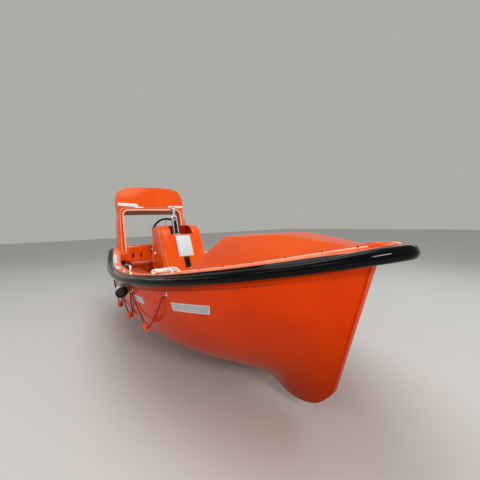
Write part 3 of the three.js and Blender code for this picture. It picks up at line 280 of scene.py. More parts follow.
FLOAT = make_coated("float_foam", "gelcoat", (0.9, 0.33, 0.11), 0.6, 300.0, 0.0006, 0.4)
TAPE = make_tape()
CREAM = make_coated("cream_plastic", "grey", (0.74, 0.71, 0.63), 0.35, worn=0.4)
GLASS = make_coated("dark_glass", "black", (0.07, 0.075, 0.06), 0.06, 90.0, 0.0001, 0.3)


# Mesh helpers; points are in millimetres and become metres here
def place_piece(name, mesh, material, body="hull", smooth=35.0):
    mesh.materials.append(material)
    mesh.shade_smooth()
    mesh.set_sharp_from_angle(angle=radians(smooth))
    piece = new_object(name, mesh)
    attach(piece, body)
    return piece


def bmesh_of(points, faces):
    work = bmesh.new()
    made = [work.verts.new([c * MM for c in p]) for p in points]
    for face in faces:
        work.faces.new([made[i] for i in face])
    bmesh.ops.remove_doubles(work, verts=work.verts, dist=2e-6)
    bmesh.ops.recalc_face_normals(work, faces=work.faces)
    return work


def bevel_sharp(work, width, angle, steps, keep=None):
    sharp = [e for e in work.edges if len(e.link_faces) == 2 and e.calc_face_angle(0) > radians(angle)]
    if keep:
        sharp = [e for e in sharp if keep(e)]
    bmesh.ops.bevel(
        work, geom=sharp, offset=width * MM, offset_type="OFFSET", segments=steps, profile=0.5,
        affect="EDGES", clamp_overlap=True,
    )


def finish_mesh(name, work):
    mesh = bpy.data.meshes.new(name)
    work.to_mesh(mesh)
    work.free()
    return mesh


def piece_of(name, form, material, body="hull", bevel=0.0, steps=3, angle=30.0, smooth=35.0):
    """A piece from a form, which is a list of points and a list of faces."""
    work = bmesh_of(*form)
    if bevel:
        bevel_sharp(work, bevel, angle, steps)
    return place_piece(name, finish_mesh(name, work), material, body, smooth)


def lofted(rings, closed=True, capped=True, looped=False):
    """Points and faces of rings of equal count joined in order."""
    count = len(rings[0])
    points = [p for ring in rings for p in ring]
    faces = []
    last = len(rings) if looped else len(rings) - 1
    for i in range(last):
        k = (i + 1) % len(rings)
        for j in range(count if closed else count - 1):
            m = (j + 1) % count
            faces.append((i * count + j, i * count + m, k * count + m, k * count + j))
    if capped and not looped:
        faces.append(tuple(range(count)))
        faces.append(tuple(range((len(rings) - 1) * count, len(rings) * count)))
    return points, faces


def soften(node, material, width, steps=3, body="hull", angle=25.0):
    """A copy of a CAD node with its coplanar faces joined and its edges rounded, shown in its place."""
    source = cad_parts[node]
    work = bmesh.new()
    work.from_mesh(source.data)
    bmesh.ops.remove_doubles(work, verts=work.verts, dist=5e-6)
    bmesh.ops.dissolve_limit(work, angle_limit=radians(1.0), verts=work.verts, edges=work.edges)
    bevel_sharp(work, width, angle, steps)
    piece = place_piece(node + "_form", finish_mesh(node + "_form", work), material, body)
    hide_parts(node)


def mix(a, b, t):
    return a + (b - a) * t


def clamp(value, low, high):
    return min(high, max(low, value))


def ease(t):
    return t * t * (3 - 2 * t)


def read_line(line, x):
    i = 0
    while i + 2 < len(line) and line[i + 1][0] < x:
        i += 1
    (x0, z0), (x1, z1) = line[i], line[i + 1]
    return mix(z0, z1, clamp((x - x0) / (x1 - x0), 0, 1))


def spline(points, steps):
    """A smooth line through points, chord by chord."""
    at = [Vector(p) for p in points]
    at = [at[0] * 2 - at[1]] + at + [at[-1] * 2 - at[-2]]
    out = []
    for p0, p1, p2, p3 in zip(at, at[1:], at[2:], at[3:]):
        d0, d1, d2 = [max(1e-6, (b - a).length) ** 0.5 for a, b in ((p0, p1), (p1, p2), (p2, p3))]
        m1 = (p1 - p0) / d0 - (p2 - p0) / (d0 + d1) + (p2 - p1) / d1
        m2 = (p2 - p1) / d1 - (p3 - p1) / (d1 + d2) + (p3 - p2) / d2
        m1, m2 = m1 * d1, m2 * d1
        for n in range(steps):
            t = n / steps
            a, b = t * t * (3 - 2 * t), t * (1 - t)
            out.append(tuple(p1 * (1 - a) + p2 * a + m1 * (b * (1 - t)) - m2 * (b * t)))
    return out + [tuple(at[-2])]


def rounded(line, radii, steps):
    """A flat line with its inner corners turned into arcs; radii holds one value for each point."""
    out = [tuple(line[0])]
    for i in range(1, len(line) - 1):
        here, before, after = Vector(line[i]), Vector(line[i - 1]), Vector(line[i + 1])
        a, b = (before - here), (after - here)
        reach = min(radii[i], a.length * 0.45, b.length * 0.45)
        start, end = here + a.normalized() * reach, here + b.normalized() * reach
        if reach < 0.3:
            out.append(tuple(here))
            continue
        for n in range(steps + 1):
            t = n / steps
            out.append(tuple(start * (1 - t) ** 2 + here * (2 * t * (1 - t)) + end * t * t))
    return out + [tuple(line[-1])]


def both_sides(half):
    """An outline across the centre line from one side's y and z pairs, the middle last."""
    return list(half) + [(-y, z) for y, z in reversed(half) if y]


def turns(count):
    """The angles of a whole turn in equal steps, with both ends."""
    return [n / count * tau for n in range(count + 1)]


def plate(outline, depths, place):
    """A flat form between two depths of an outline; place puts its two numbers and a depth in space."""
    return lofted([[place(u, v, depth) for u, v in outline] for depth in depths])


def direction(line, i):
    """Which way a line runs at one of its points, seen flat."""
    before, after = line[max(0, i - 1)], line[min(len(line) - 1, i + 1)]
    return Vector((after[0] - before[0], after[1] - before[1])).normalized()


def bead(line, width, rise, half, sink, place):
    """A rounded bead along a flat line; half holds shares of its width and rise, place puts it in space."""
    side = [(0.5, -sink)] + [(share, rise * up) for share, up in half]
    section = [(-share, up) for share, up in side] + side[::-1]
    rings = []
    for i, (u, v) in enumerate(line):
        along = direction(line, i)
        rings.append([
            place(u - along[1] * width * share, v + along[0] * width * share, up) for share, up in section
        ])
    return lofted(rings)


def tube(route, radius, count=12):
    """A form round a route, without twist; radius is a number or a function of an angle and a distance."""
    at = [Vector(p) for p in route]
    side, run, rings = None, 0.0, []
    for i, here in enumerate(at):
        ahead = (at[min(i + 1, len(at) - 1)] - at[max(i - 1, 0)]).normalized()
        if side is None:
            side = Vector((0, 0, 1)) if abs(ahead.z) < 0.9 else Vector((1, 0, 0))
        side = (side - ahead * side.dot(ahead)).normalized()
        other = ahead.cross(side)
        if i:
            run += (here - at[i - 1]).length
        ring = []
        for angle in turns(count)[:-1]:
            size = radius(angle, run) if callable(radius) else radius
            ring.append(tuple(here + side * (size * cos(angle)) + other * (size * sin(angle))))
        rings.append(ring)
    return lofted(rings)


def turned_about(at, axis, profile, sides=28):
    """A round form from radius and distance pairs; a profile that ends where it starts makes a ring."""
    axis = Vector(axis).normalized()
    first = axis.orthogonal().normalized()
    second = axis.cross(first)
    rings = []
    for radius, distance in profile:
        middle = Vector(at) + axis * distance
        rings.append([
            tuple(middle + first * (radius * cos(turn)) + second * (radius * sin(turn)))
            for turn in turns(sides)[:-1]
        ])
    return lofted(rings, capped=profile[0] != profile[-1])


# Driving dimensions in millimetres, as in the frame's source
SHEER_BOW, SHEER_STERN, SHEER_HALF = 2205, -2230, 932
SHEER_LENGTH = SHEER_BOW - SHEER_STERN
WIDEST, STERN_HALF = 0.45, 640
BOW_POWER, BOW_ROOT, STERN_POWER, CORNER_RADIUS = 1.729, 1.574, 1.94, 210
SHEER_RISE = (750, 422, 401)
STERN_LIFT_FROM, STERN_LIFT = -1230, 135
FENDER_DEPTH, FENDER_HEIGHT, HULL_INSET = 70, 67, 36
LEDGE_DROP, LEDGE_DROP_BOW, LEDGE_SIDE, LEDGE_BOW = 68, 42, 14, 135
GUNWALE_RISE, DECK_RISE, LIP_RISE, WALL_DROP, DECK_INNER = 38, 44, 47, 50, 140
BOTTOM_LINE = [
    (-2194, -150), (-1900, -172), (-1500, -215), (-1000, -262), (-500, -292), (0, -304), (670, -296),
    (900, -299), (1030, -293), (1120, -297), (1200, -325), (1300, -349), (1400, -349), (1500, -327),
    (1568, -300), (1630, -253), (1680, -205), (1720, -155),
]
KEEL_HALF, FOREFOOT_HALF, STEM_HEAD_HALF = 25, 15, 22
FOREFOOT_FROM, FOREFOOT_TO = 900, 1200
BOW_END, FOOT_POWER, BOW_FLARE = 0.35, 1.15, 0.13
SECTION_SHAPE = [
    (0.000, 0.330, 0.330, 0.660, 0.670), (0.030, 0.250, 0.330, 0.650, 0.720),
    (0.100, 0.205, 0.339, 0.658, 0.686), (0.200, 0.154, 0.098, 0.720, 0.254),
    (0.265, 0.192, 0.086, 0.824, 0.172), (0.340, 0.383, 0.131, 0.972, 0.222),
    (0.400, 0.521, 0.169, 0.994, 0.287), (1.000, 0.521, 0.169, 0.994, 0.287),
]
BOW_STEPS, SIDE_STEPS, CORNER_STEPS = 16, 10, 6
CENTRE_SHARE = 0.2
FINER = 4
HULL_STEPS, FINE_HULL_STEPS = 11, 30


def stern_lift(x):
    """Rise of the sheer towards the stern, above its long curve."""
    return STERN_LIFT * ease(clamp((STERN_LIFT_FROM - x) / (STERN_LIFT_FROM - SHEER_STERN), 0, 1))


def sheer(s):
    x = SHEER_BOW - SHEER_LENGTH * s
    forward = (1 - max(0, 1 - s / WIDEST) ** BOW_POWER) ** (1 / BOW_ROOT)
    back = 1 - (1 - STERN_HALF / SHEER_HALF) * max(0, (s - WIDEST) / (1 - WIDEST)) ** STERN_POWER
    reach = clamp(SHEER_STERN + CORNER_RADIUS - x, 0, CORNER_RADIUS)
    y = SHEER_HALF * (forward if s < WIDEST else back) - CORNER_RADIUS
    y += sqrt(CORNER_RADIUS ** 2 - reach ** 2)
    bow, middle, stern = SHEER_RISE
    z = bow * 2 * (s - 0.5) * (s - 1) - middle * 4 * s * (s - 1) + stern * 2 * s * (s - 0.5)
    return x, y, z + stern_lift(x)


def stations(finer):
    """Places along the sheer, dense at the stem and round the stern's corner."""
    bow, side, corner = BOW_STEPS * finer, SIDE_STEPS * finer, CORNER_STEPS * finer
    corner_at = 1 - CORNER_RADIUS / SHEER_LENGTH
    places = [WIDEST * (1 - cos(i / bow * pi / 2)) for i in range(bow)]
    places += [mix(WIDEST, corner_at, i / side) for i in range(side)]
    return places + [mix(corner_at, 1, sin(i / corner * pi / 2)) for i in range(corner + 1)]


class SheerPath:
    """The starboard sheer from the stem to the transom's centre, each place with its outward direction."""

    def __init__(self, finer):
        self.s = stations(finer)
        at = [(x, -y, z) for x, y, z in map(sheer, self.s)]
        _, last_y, last_z = at[-1]
        at += [(SHEER_STERN, last_y * (1 - n / (2 * finer)), last_z) for n in range(1, 2 * finer + 1)]
        self.at, self.out = at, []
        for i in range(len(at)):
            tangent = direction(at, i)
            if i == 0:
                tangent = (0, -1)
            if i >= len(self.s):
                tangent = (0, 1)
            self.out.append((-tangent[1], tangent[0]))
        self.split = 0.5 * BOW_STEPS * finer

    def beside(self, i, side, o, up):
        """A point o outward of the sheer and up above it; side is -1 to starboard and 1 to port."""
        (x, y, z), out = self.at[i], self.out[i]
        least = -y * CENTRE_SHARE if 0 < i < self.split else 0
        return x + out[0] * o, max(-(y + out[1] * o), least) * side, z + up

    def around(self):
        """Every place round the boat once, each an index and a side."""
        last = len(self.at) - 1
        return [(i, -1) for i in range(last)] + [(i, 1) for i in range(last, 0, -1)]


COARSE = SheerPath(1)
FINE = SheerPath(FINER)


def inside_line(x, inset):
    """Half breadth and height at x of a line inside the sheer, without the stern's lift."""
    last = None
    for i, at in enumerate(FINE.at[:-2]):
        px, py, _ = FINE.beside(i, 1, -inset, 0)
        here = (px, py, at[2] - stern_lift(at[0]))
        if last and here[0] <= x <= last[0]:
            t = (last[0] - x) / max(1e-9, last[0] - here[0])
            return mix(last[1], here[1], t), mix(last[2], here[2], t)
        last = here
    return 0, SHEER_RISE[0]


def along_line(line, fraction):
    """The place at a fraction of a flat line's length."""
    sizes = [dist(a, b) for a, b in zip(line, line[1:])]
    rest = fraction * sum(sizes)
    for i, size in enumerate(sizes):
        if rest <= size or i == len(sizes) - 1:
            t = clamp(rest / size, 0, 1)
            return mix(line[i][0], line[i + 1][0], t), mix(line[i][1], line[i + 1][1], t)
        rest -= size


def ledge_at(s):
    """How far inside and below the sheer the ledge under the fender lies."""
    bow = 1 - ease(clamp(s / BOW_FLARE, 0, 1))
    return HULL_INSET + mix(LEDGE_SIDE, LEDGE_BOW, bow), mix(LEDGE_DROP, LEDGE_DROP_BOW, bow)


def hull_section(i, steps):
    """One side of a hull section from the keel to the ledge, then the band behind the fender."""
    s, out = COARSE.s[i], COARSE.out[i]
    sx, sy, sz = sheer(s)
    inset, drop = ledge_at(s)
    ledge = sz - drop

    def place(o, z, least):
        return sx - out[0] * o, max(least, sy + out[1] * o), z

    top = place(inset, ledge, STEM_HEAD_HALF + i * 0.5)
    keel = (top[0], KEEL_HALF, read_line(BOTTOM_LINE, top[0]))
    if s < BOW_END:
        start = SHEER_BOW - SHEER_LENGTH * BOW_END
        line = [(start, read_line(BOTTOM_LINE, start))] + [p for p in BOTTOM_LINE if p[0] > start]
        x, z = along_line(line, (1 - s / BOW_END) ** FOOT_POWER)
        narrow = clamp((x - FOREFOOT_FROM) / (FOREFOOT_TO - FOREFOOT_FROM), 0, 1)
        keel = (x, mix(KEEL_HALF, FOREFOOT_HALF, narrow), z)
    f1, g1, f2, g2 = [read_line([(row[0], row[k]) for row in SECTION_SHAPE], s) for k in range(1, 5)]
    span = [a - b for a, b in zip(top, keel)]

    def control(f, g):
        return keel[0] + span[0] * (g if i == 0 else f), keel[1] + span[1] * f, keel[2] + span[2] * g

    corners = (keel, control(f1, g1), control(f2, g2), top)
    points = []
    for n in range(steps + 1):
        t = n / steps
        q = 1 - t
        weights = (q ** 3, 3 * q * q * t, 3 * q * t * t, t ** 3)
        points.append(tuple(sum(w * c for w, c in zip(weights, row)) for row in zip(*corners)))
    return points + [place(HULL_INSET, ledge, 4), place(HULL_INSET, sz + GUNWALE_RISE, 4)]


def hull_sections(steps):
    return [hull_section(i, steps) for i in range(len(COARSE.s))]


COARSE_HULL = hull_sections(HULL_STEPS)


def hull_half(x, z):
    """Half breadth of the skin at a place along the boat and a height."""
    best = FOREFOOT_HALF
    for a, b in zip(COARSE_HULL, COARSE_HULL[1:]):
        for j in range(len(a) - 1):
            for p, q, r in ((a[j], b[j], b[j + 1]), (a[j], b[j + 1], a[j + 1])):
                det = (q[2] - r[2]) * (p[0] - r[0]) + (r[0] - q[0]) * (p[2] - r[2])
                if abs(det) < 1e-9:
                    continue
                u = ((q[2] - r[2]) * (x - r[0]) + (r[0] - q[0]) * (z - r[2])) / det
                v = ((r[2] - p[2]) * (x - r[0]) + (p[0] - r[0]) * (z - r[2])) / det
                if min(u, v, 1 - u - v) > -1e-6:
                    best = max(best, u * p[1] + v * q[1] + (1 - u - v) * r[1])
    return best


def sheer_at(x):
    return sheer((SHEER_BOW - x) / SHEER_LENGTH)[2]


# Grab lines: eyes, loops of three-strand rope and a float on each loop
EYES = [875, 270, -335, -940, -1545]
LOOP_HALF = [844, 838, 812, 742]
EYE_DROP, LOOP_SAG, LINE_SEAT, LINE_CLEAR, LINE_RADIUS, LINE_LAY = 104, 270, 7.3, 15, 7, 52
FLARE_FROM, FLARE_TO, FLARE_CLEAR = 500, 875, 5
EYE_BEND, EYE_BEND_DROP, EYE_BEND_PLACES, LOOP_STEPS = 30, 15, (0, 10, 19, 26), 8
FLOAT_HALF, FLOAT_RADIUS, FLOAT_END, FLOAT_GROOVE = 36, 28, 9, 0.45


def eye_drop(u):
    return EYE_BEND - sqrt(EYE_BEND ** 2 - u * u)


def loop_places(span):
    """Places along a loop and their depths: round over the eye, then a curve down to the middle."""
    half, start = span / 2, EYE_BEND_PLACES[-1]
    places = [(u, eye_drop(u)) for u in EYE_BEND_PLACES]
    for n in range(1, LOOP_STEPS):
        u = mix(start, span - start, n / LOOP_STEPS)
        share = 1 - ((half - u) / (half - start)) ** 2
        places.append((u, EYE_BEND_DROP + (LOOP_SAG - EYE_BEND_DROP) * share))
    return places + [(span - u, eye_drop(u)) for u in reversed(EYE_BEND_PLACES[1:])]


def line_point(i, u, depth, side):
    start, end = EYES[i], EYES[i + 1]
    t = u / (start - end)
    x = mix(start, end, t)
    eye_z = [sheer_at(place) - EYE_DROP for place in (start, end)]
    eye_half = [hull_half(place, z) for place, z in zip((start, end), eye_z)]
    z = mix(*eye_z, t) - depth
    flare = FLARE_CLEAR * clamp((x - FLARE_FROM) / (FLARE_TO - FLARE_FROM), 0, 1)
    free = mix(mix(*eye_half, t) + LINE_SEAT + flare, LOOP_HALF[i], depth / LOOP_SAG)
    on_hull = hull_half(x, z) + flare + mix(LINE_SEAT, LINE_CLEAR, min(1, depth / EYE_BEND_DROP))
    return x, side * max(free, on_hull), z


def grab_route(side):
    points = []
    for i in range(len(EYES) - 1):
        points += [line_point(i, u, depth, side) for u, depth in loop_places(EYES[i] - EYES[i + 1])]
    return points + [line_point(len(EYES) - 2, EYES[-2] - EYES[-1], 0, side)]


def strand(angle, run):
    """Radius of three strands laid round each other."""
    turn = (angle - run / LINE_LAY * tau) * 1.5
    return LINE_RADIUS * (0.8 + 0.2 * abs(cos(turn)) ** 0.6)


def add_grab_line(name, side):
    route = spline(grab_route(side), 10)
    line = piece_of(f"grab_rope_{name}", tube(route, strand, 18), ROPE, smooth=60)
    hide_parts(f"grab_line_{name}")
    return line, route


def float_profile():
    """Radius and distance pairs of a float with rounded ends and two shallow grooves."""
    half = [(8.5, 16 - FLOAT_HALF), (10.5, 1 - FLOAT_HALF), (12, -FLOAT_HALF)]
    for n in range(7):
        turn = n / 6 * pi / 2
        out, along = FLOAT_END * (1 - sin(turn)), FLOAT_END * (1 - cos(turn))
        half.append((FLOAT_RADIUS - out, along - FLOAT_HALF))
    for deep, along in ((0, -3), (1.6, -1.2), (1.6, 1.2), (0, 3)):
        half.append((FLOAT_RADIUS - deep, along - FLOAT_HALF * FLOAT_GROOVE))
    return half + [(radius, -place) for radius, place in reversed(half)]


def add_floats(name, route):
    """One float at the lowest place of each loop."""
    made = []
    for n, (fore, aft) in enumerate(zip(EYES, EYES[1:])):
        low = min((p for p in route if aft < p[0] < fore), key=lambda p: p[2])
        i = route.index(low)
        form = turned_about(low, Vector(route[i + 1]) - Vector(route[i - 1]), float_profile())
        made.append(piece_of(f"line_float_{name}_{n + 1}", form, FLOAT, smooth=50))
    return made


def route_length(route):
    return sum((Vector(b) - Vector(a)).length for a, b in zip(route, route[1:])) * MM


for side_name, side_sign in SIDES:
    rope, rope_route = add_grab_line(side_name, side_sign)
    metres = [tuple(c * MM for c in p) for p in rope_route]
    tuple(metres[0])
    route_length(rope_route)
    add_floats(side_name, rope_route)


# Hull: the skin's sections carried smoothly along, closed by the stem and the transom
SKIN_THICKNESS, STEM_BEVEL = 8, 9
TRANSOM_X, STEM_X, STEM_TOP = -2180, 1200, 660


def hull_rings():
    columns = [spline(column, FINER) for column in zip(*hull_sections(FINE_HULL_STEPS))]
    return [[(x, -y, z) for x, y, z in reversed(section)] + list(section) for section in zip(*columns)]


HULL_RINGS = hull_rings()


def hull_surface():
    """Points and faces of the whole skin, open at the stem and the transom."""
    return lofted(HULL_RINGS, closed=False, capped=False)


def at_an_end(edge):
    """Whether an edge belongs to the transom's rim or to the stem."""
    at = edge.verts[0].co
    at_stem = abs(at.y) < 2 * STEM_HEAD_HALF * MM and at.z < STEM_TOP * MM and at.x > STEM_X * MM
    return at_stem or min(v.co.x for v in edge.verts) < TRANSOM_X * MM


def add_hull():
    points, faces = hull_surface()
    count = len(HULL_RINGS[0])
    for first in (0, len(points) - count):
        for j in range(count // 2 - 1):
            faces.append((first + j, first + j + 1, first + count - 2 - j, first + count - 1 - j))
    work = bmesh_of(points, faces)
    bevel_sharp(work, STEM_BEVEL, 32, 4, at_an_end)
    hull = place_piece("hull_skin", finish_mesh("hull_skin", work), HULL, smooth=38)
    thick = hull.modifiers.new("thick", "SOLIDIFY")
    thick.thickness = SKIN_THICKNESS * MM
    thick.offset = -1
    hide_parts("hull_shell", "transom")


add_hull()

# Fender and side deck, each one run round the boat
RUNS = ("bow", "stern", "starboard", "port")
BOW_REACH, DECK_BOW_DROP, LIP_BOW_DROP = 330, 9, 11
FENDER_SWELL, FENDER_ROUND, FENDER_LAND, FENDER_STEPS = 13, 0.85, 0.3, 18


def bow_share(x):
    """1 at the stem and 0 further aft of it than the bow's reach."""
    return ease(clamp((x - SHEER_BOW + BOW_REACH) / BOW_REACH, 0, 1))


def add_around(name, section_at, material, nodes=()):
    rings = []
    for i, side in FINE.around():
        x = FINE.at[i][0]
        foot = stern_lift(x)
        section = section_at(bow_share(x))
        rings.append([FINE.beside(i, side, o, up - foot if up == -WALL_DROP else up) for o, up in section])
    piece = piece_of(name, lofted(rings, looped=True), material)
    if nodes:
        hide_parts(*nodes)


def fender_section(bow):
    half, deep = FENDER_HEIGHT / 2, FENDER_DEPTH / 2
    top = half + FENDER_SWELL * bow
    section = [(-deep, -half), (-deep * FENDER_LAND, -half)]
    for n in range(FENDER_STEPS + 1):
        angle = -pi / 2 + n / FENDER_STEPS * pi
        out = deep * max(0, cos(angle)) ** FENDER_ROUND
        section.append((out, (top if angle > 0 else half) * sin(angle)))
    return section + [(-deep * FENDER_LAND, top), (-deep, top)]


def deck_section(bow):
    rise, lip = DECK_RISE - DECK_BOW_DROP * bow, LIP_RISE - LIP_BOW_DROP * bow
    under = GUNWALE_RISE - DECK_BOW_DROP * bow
    return [
        (-HULL_INSET, under + 0.6), (-HULL_INSET, rise - 2), (-HULL_INSET - 2, rise), (-60, rise),
        (-94, rise), (-99, rise + 0.8), (-104, lip), (-132, lip), (-137, lip - 1.5),
        (-DECK_INNER, lip - 5), (-DECK_INNER, -WALL_DROP), (-130, -WALL_DROP), (-130, lip - 11),
        (-106, lip - 8), (-98, under + 0.9),
    ]


def flange_section(bow):
    """The fender's black top flange against the deck's outer edge."""
    rise = DECK_RISE - DECK_BOW_DROP * bow
    return [
        (-40, rise - 6), (-40, rise + 1.2), (-37, rise + 2), (-31, rise + 1), (-23, rise - 7), (-15, 31),
        (-15, 26), (-38, 26),
    ]


add_around("fender", fender_section, RUBBER, [f"fender_{run}" for run in RUNS])
add_around("side_deck", deck_section, DECK, [f"gunwale_{run}" for run in RUNS])
add_around("fender_flange", flange_section, RUBBER)

# Bow nose: a rounded mound on the deck's tip; place, top height, half width
NOSE = [
    (1975, 768, 4), (1992, 776, 24), (2025, 789, 44), (2065, 800, 54), (2110, 804, 56), (2145, 803, 50),
    (2160, 798, 44), (2168, 786, 36), (2171, 766, 30),
]
NOSE_BASE, NOSE_BASE_END, NOSE_STEPS = 18, 2160, 16


def add_nose():
    rings = []
    for x, top, half in spline(NOSE, 4):
        base = sheer_at(min(x, NOSE_BASE_END)) + NOSE_BASE
        ring = []
        for n in range(NOSE_STEPS + 1):
            angle = n / NOSE_STEPS * pi
            across, up = cos(angle), sin(angle)
            ring.append((x, half * copysign(abs(across) ** 0.7, across), mix(base, top, up ** 0.55)))
        rings.append(ring)
    piece_of("bow_nose", lofted(rings), GELCOAT, smooth=50)


add_nose()

# Foredeck cover: a shell with rounded shoulders on a flange that lies on the deck's lip
COVER_AFT_X = 900
COVER = [
    (COVER_AFT_X, 285, 814, 822), (1190, 225, 826, 834), (1430, 165, 837, 845), (1620, 134, 814, 820),
    (1800, 106, 792, 797), (1960, 80, 773, 776), (2040, 20, 760, 760), (2084, 6, 760, 760),
]
COVER_EDGE, COVER_FOOT, COVER_LIFT, COVER_SKIN, COVER_RINGS = 112, 195, LIP_RISE + 1, 8, 56
COVER_FOOT_RISE, COVER_INNER_SHARE, COVER_BLEND = 4.4, 0.985, (-45, -22, 0, 22, 45)


def on_flange(x, inset, rise):
    """Half breadth and height of a line above the deck's lip, inside the sheer."""
    half, z = inside_line(x, inset)
    return half, z + COVER_LIFT + rise - LIP_BOW_DROP * bow_share(x)


def cover_ring(x, shoulder, high, centre):
    half, low = on_flange(x, COVER_EDGE, 0)
    foot, foot_z = on_flange(x, COVER_FOOT, COVER_FOOT_RISE)
    turn = max(foot, half * 0.5)
    top = max(high, foot_z + 2)
    peak = max(centre, top + 1)
    line = [(half, low), (half, low + 4), (turn, foot_z), (min(shoulder, turn - 3), top), (0, peak)]
    outer = rounded(line, (0, 2, 12, 16, 0), 6)
    outer = both_sides([(-y, z) for y, z in outer[:-1]] + [(0, peak)])
    inner = [(y * COVER_INNER_SHARE, z - COVER_SKIN) for y, z in reversed(outer)]
    return [(x, y, z) for y, z in outer + inner]


def add_cover():
    curves = [[(row[0], row[k]) for row in COVER] for k in (1, 2, 3)]
    rings = []
    for n in range(COVER_RINGS + 1):
        x = mix(COVER[0][0], COVER[-1][0], n / COVER_RINGS)
        values = [sum(read_line(curve, x + d) for d in COVER_BLEND) / len(COVER_BLEND) for curve in curves]
        rings.append(cover_ring(x, *values))
    cover = piece_of("foredeck_form", lofted(rings), COVER_COAT, smooth=40)
    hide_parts("foredeck_cover")


add_cover()

# Cover fasteners: domed heads with washers on the flange
FASTENER_X = (1140, 1338, 1529, 1710, 1874, 2005)
FASTENER_IN, FASTENER_RISE, FASTENER_LEAN = 7, 7.5, 0.45
FASTENER = [(0.1, -5), (8, -5), (8, 1.4), (6.2, 1.8), (6, 3.6), (4.4, 5.2), (0.1, 5.8)]


def add_fasteners():
    for n, x in enumerate(FASTENER_X):
        half, z = on_flange(x, COVER_EDGE + FASTENER_IN, FASTENER_RISE)
        for name, side in SIDES:
            form = turned_about((x, side * half, z), (0, side * FASTENER_LEAN, 1), FASTENER, 16)
            piece_of(f"cover_screw_{n + 1}_{name}", form, BLACK)


add_fasteners()

# Painted highlight along the edge of the cover's flange, and a painted shade line below the fender
FLANGE_EDGE_TO, FLANGE_EDGE_IN, FLANGE_EDGE_RISE, FLANGE_EDGE_RADIUS = 2040, 4, 2.5, 6.5
LEDGE_FROM, LEDGE_TO, LEDGE_FADE, LEDGE_LINE_HEIGHT = 0.09, 0.985, 0.2, 6


def add_flange_edge(name, side):
    """A rounded edge along one side of the cover's flange, pale as painted highlight."""
    line = []
    for n in range(41):
        x = mix(COVER_AFT_X + 4, FLANGE_EDGE_TO, n / 40)
        half, z = on_flange(x, COVER_EDGE + FLANGE_EDGE_IN, FLANGE_EDGE_RISE)
        line.append((x, side * half, z))
    piece_of(f"flange_edge_{name}", tube(line, FLANGE_EDGE_RADIUS), PAINTED_HIGHLIGHT, smooth=60)


def add_ledge_shade(name, side):
    """A dark line as painted shade where the hull's top steps out to the band behind the fender, thinner
    towards the bow.
    """
    rings = []
    for i, s in enumerate(FINE.s):
        if s < LEDGE_FROM or s > LEDGE_TO:
            continue
        high = LEDGE_LINE_HEIGHT * mix(0.1, 1, ease(clamp((s - LEDGE_FROM) / LEDGE_FADE, 0, 1)))
        inset, drop = ledge_at(s)
        out, low = 2.2 - HULL_INSET, 4 - inset
        section = [
            (out, high - 1), (out, -1), (-HULL_INSET - 3, -3), (low, -4), (low, 1),
            (-HULL_INSET - 6, high - 2),
        ]
        rings.append([FINE.beside(i, side, o, up - drop) for o, up in section])
    piece_of(f"hull_ledge_{name}", lofted(rings), PAINTED_SHADE, smooth=40)


# Plain pale patches on the side decks, aft: first and last place along the boat, and their section
DECK_PATCHES = [(-1790, -1250), (-1010, -600)]
PATCH_SECTION = [(-44, 1.6), (-95, 1.6), (-95, -0.5), (-44, -0.5)]


def add_deck_patches():
    for n, (aft, fore) in enumerate(DECK_PATCHES):
        places = [i for i in range(len(FINE.s)) if aft < FINE.at[i][0] < fore]
        for name, side in SIDES:
            rings = [[FINE.beside(i, side, o, DECK_RISE + up) for o, up in PATCH_SECTION] for i in places]
            piece_of(f"deck_patch_{name}_{n + 1}", lofted(rings), WHITE, bevel=0.4, steps=2)


add_deck_patches()

# Arch: an upside-down U leaning aft, with soft edges, a raised rim round its opening and stepped strips; the
# rim and the frame line are pale as painted highlight, and a dark sheet inside the opening and a dark bead
# outside the rim are painted shade
ARCH_X, ARCH_Z, ARCH_BASE, ARCH_LEAN, ARCH_DEPTH = -1850, 550, 442.8, 0.3, 230
ARCH_OUTER = [
    (-598, ARCH_BASE), (-590, 550), (-577, 924), (-557, 1150), (-562, 1200), (-575, 1290), (-574, 1345),
    (-568, 1390), (-545, 1470), (-522, 1510), (-495, 1535), (-440, 1561), (-375, 1577), (-230, 1590),
]
ARCH_HOLE = [
    (-476, ARCH_BASE), (-476, 550), (-478, 850), (-480, 1090), (-474, 1124), (-456, 1150), (-426, 1165),
    (-392, 1168),
]
ARCH_FRAME = [
    (-552, 500), (-549, 700), (-545, 900), (-540, 1100), (-534, 1160), (-514, 1196), (-480, 1212),
    (-430, 1216),
]
UNDERSIDE_DROP, UNDERSIDE_FROM, UNDERSIDE_REACH = 62, 900, 250
SHADE_IN, SHADE_THICK, SHADE_TOP_HALF, SHADE_TOP = 8, 1.5, 392, 1120
ARCH_BEAD, ARCH_BEAD_SINK = [(0.5, 0.5), (0.4, 0.85), (0.22, 1)], 3
RIM_CORNER, RIM_TOP_FROM, RIM_TOP_REACH = 1140, 1085, 70
# Each rim: name, shift out from the opening, width, rise and material; the pale rim is painted highlight, the
# dark bead outside it painted shade
RIMS = [("arch_rim", 17, 30, 12, PAINTED_HIGHLIGHT), ("arch_rim_shade", 36, 10, 3, PAINTED_SHADE)]
STRIPS = [
    [(-559, 1312), (-561, 1264), (-305, 1240), (-226, 1256), (-262, 1294)],
    [(-305, 1247), (-290, 1221), (-146, 1214), (-150, 1241)],
    [(283, 1262), (300, 1226), (566, 1223), (562, 1259)],
]


def on_arch(y, z, ahead):
    """The place on the leaning arch of a point across, up and ahead of its face."""
    return ARCH_X + ahead - (z - ARCH_Z) * ARCH_LEAN, y, z


def under_drop(z):
    """How far the opening's edge falls towards its back."""
    return UNDERSIDE_DROP * clamp((z - UNDERSIDE_FROM) / UNDERSIDE_REACH, 0, 1)


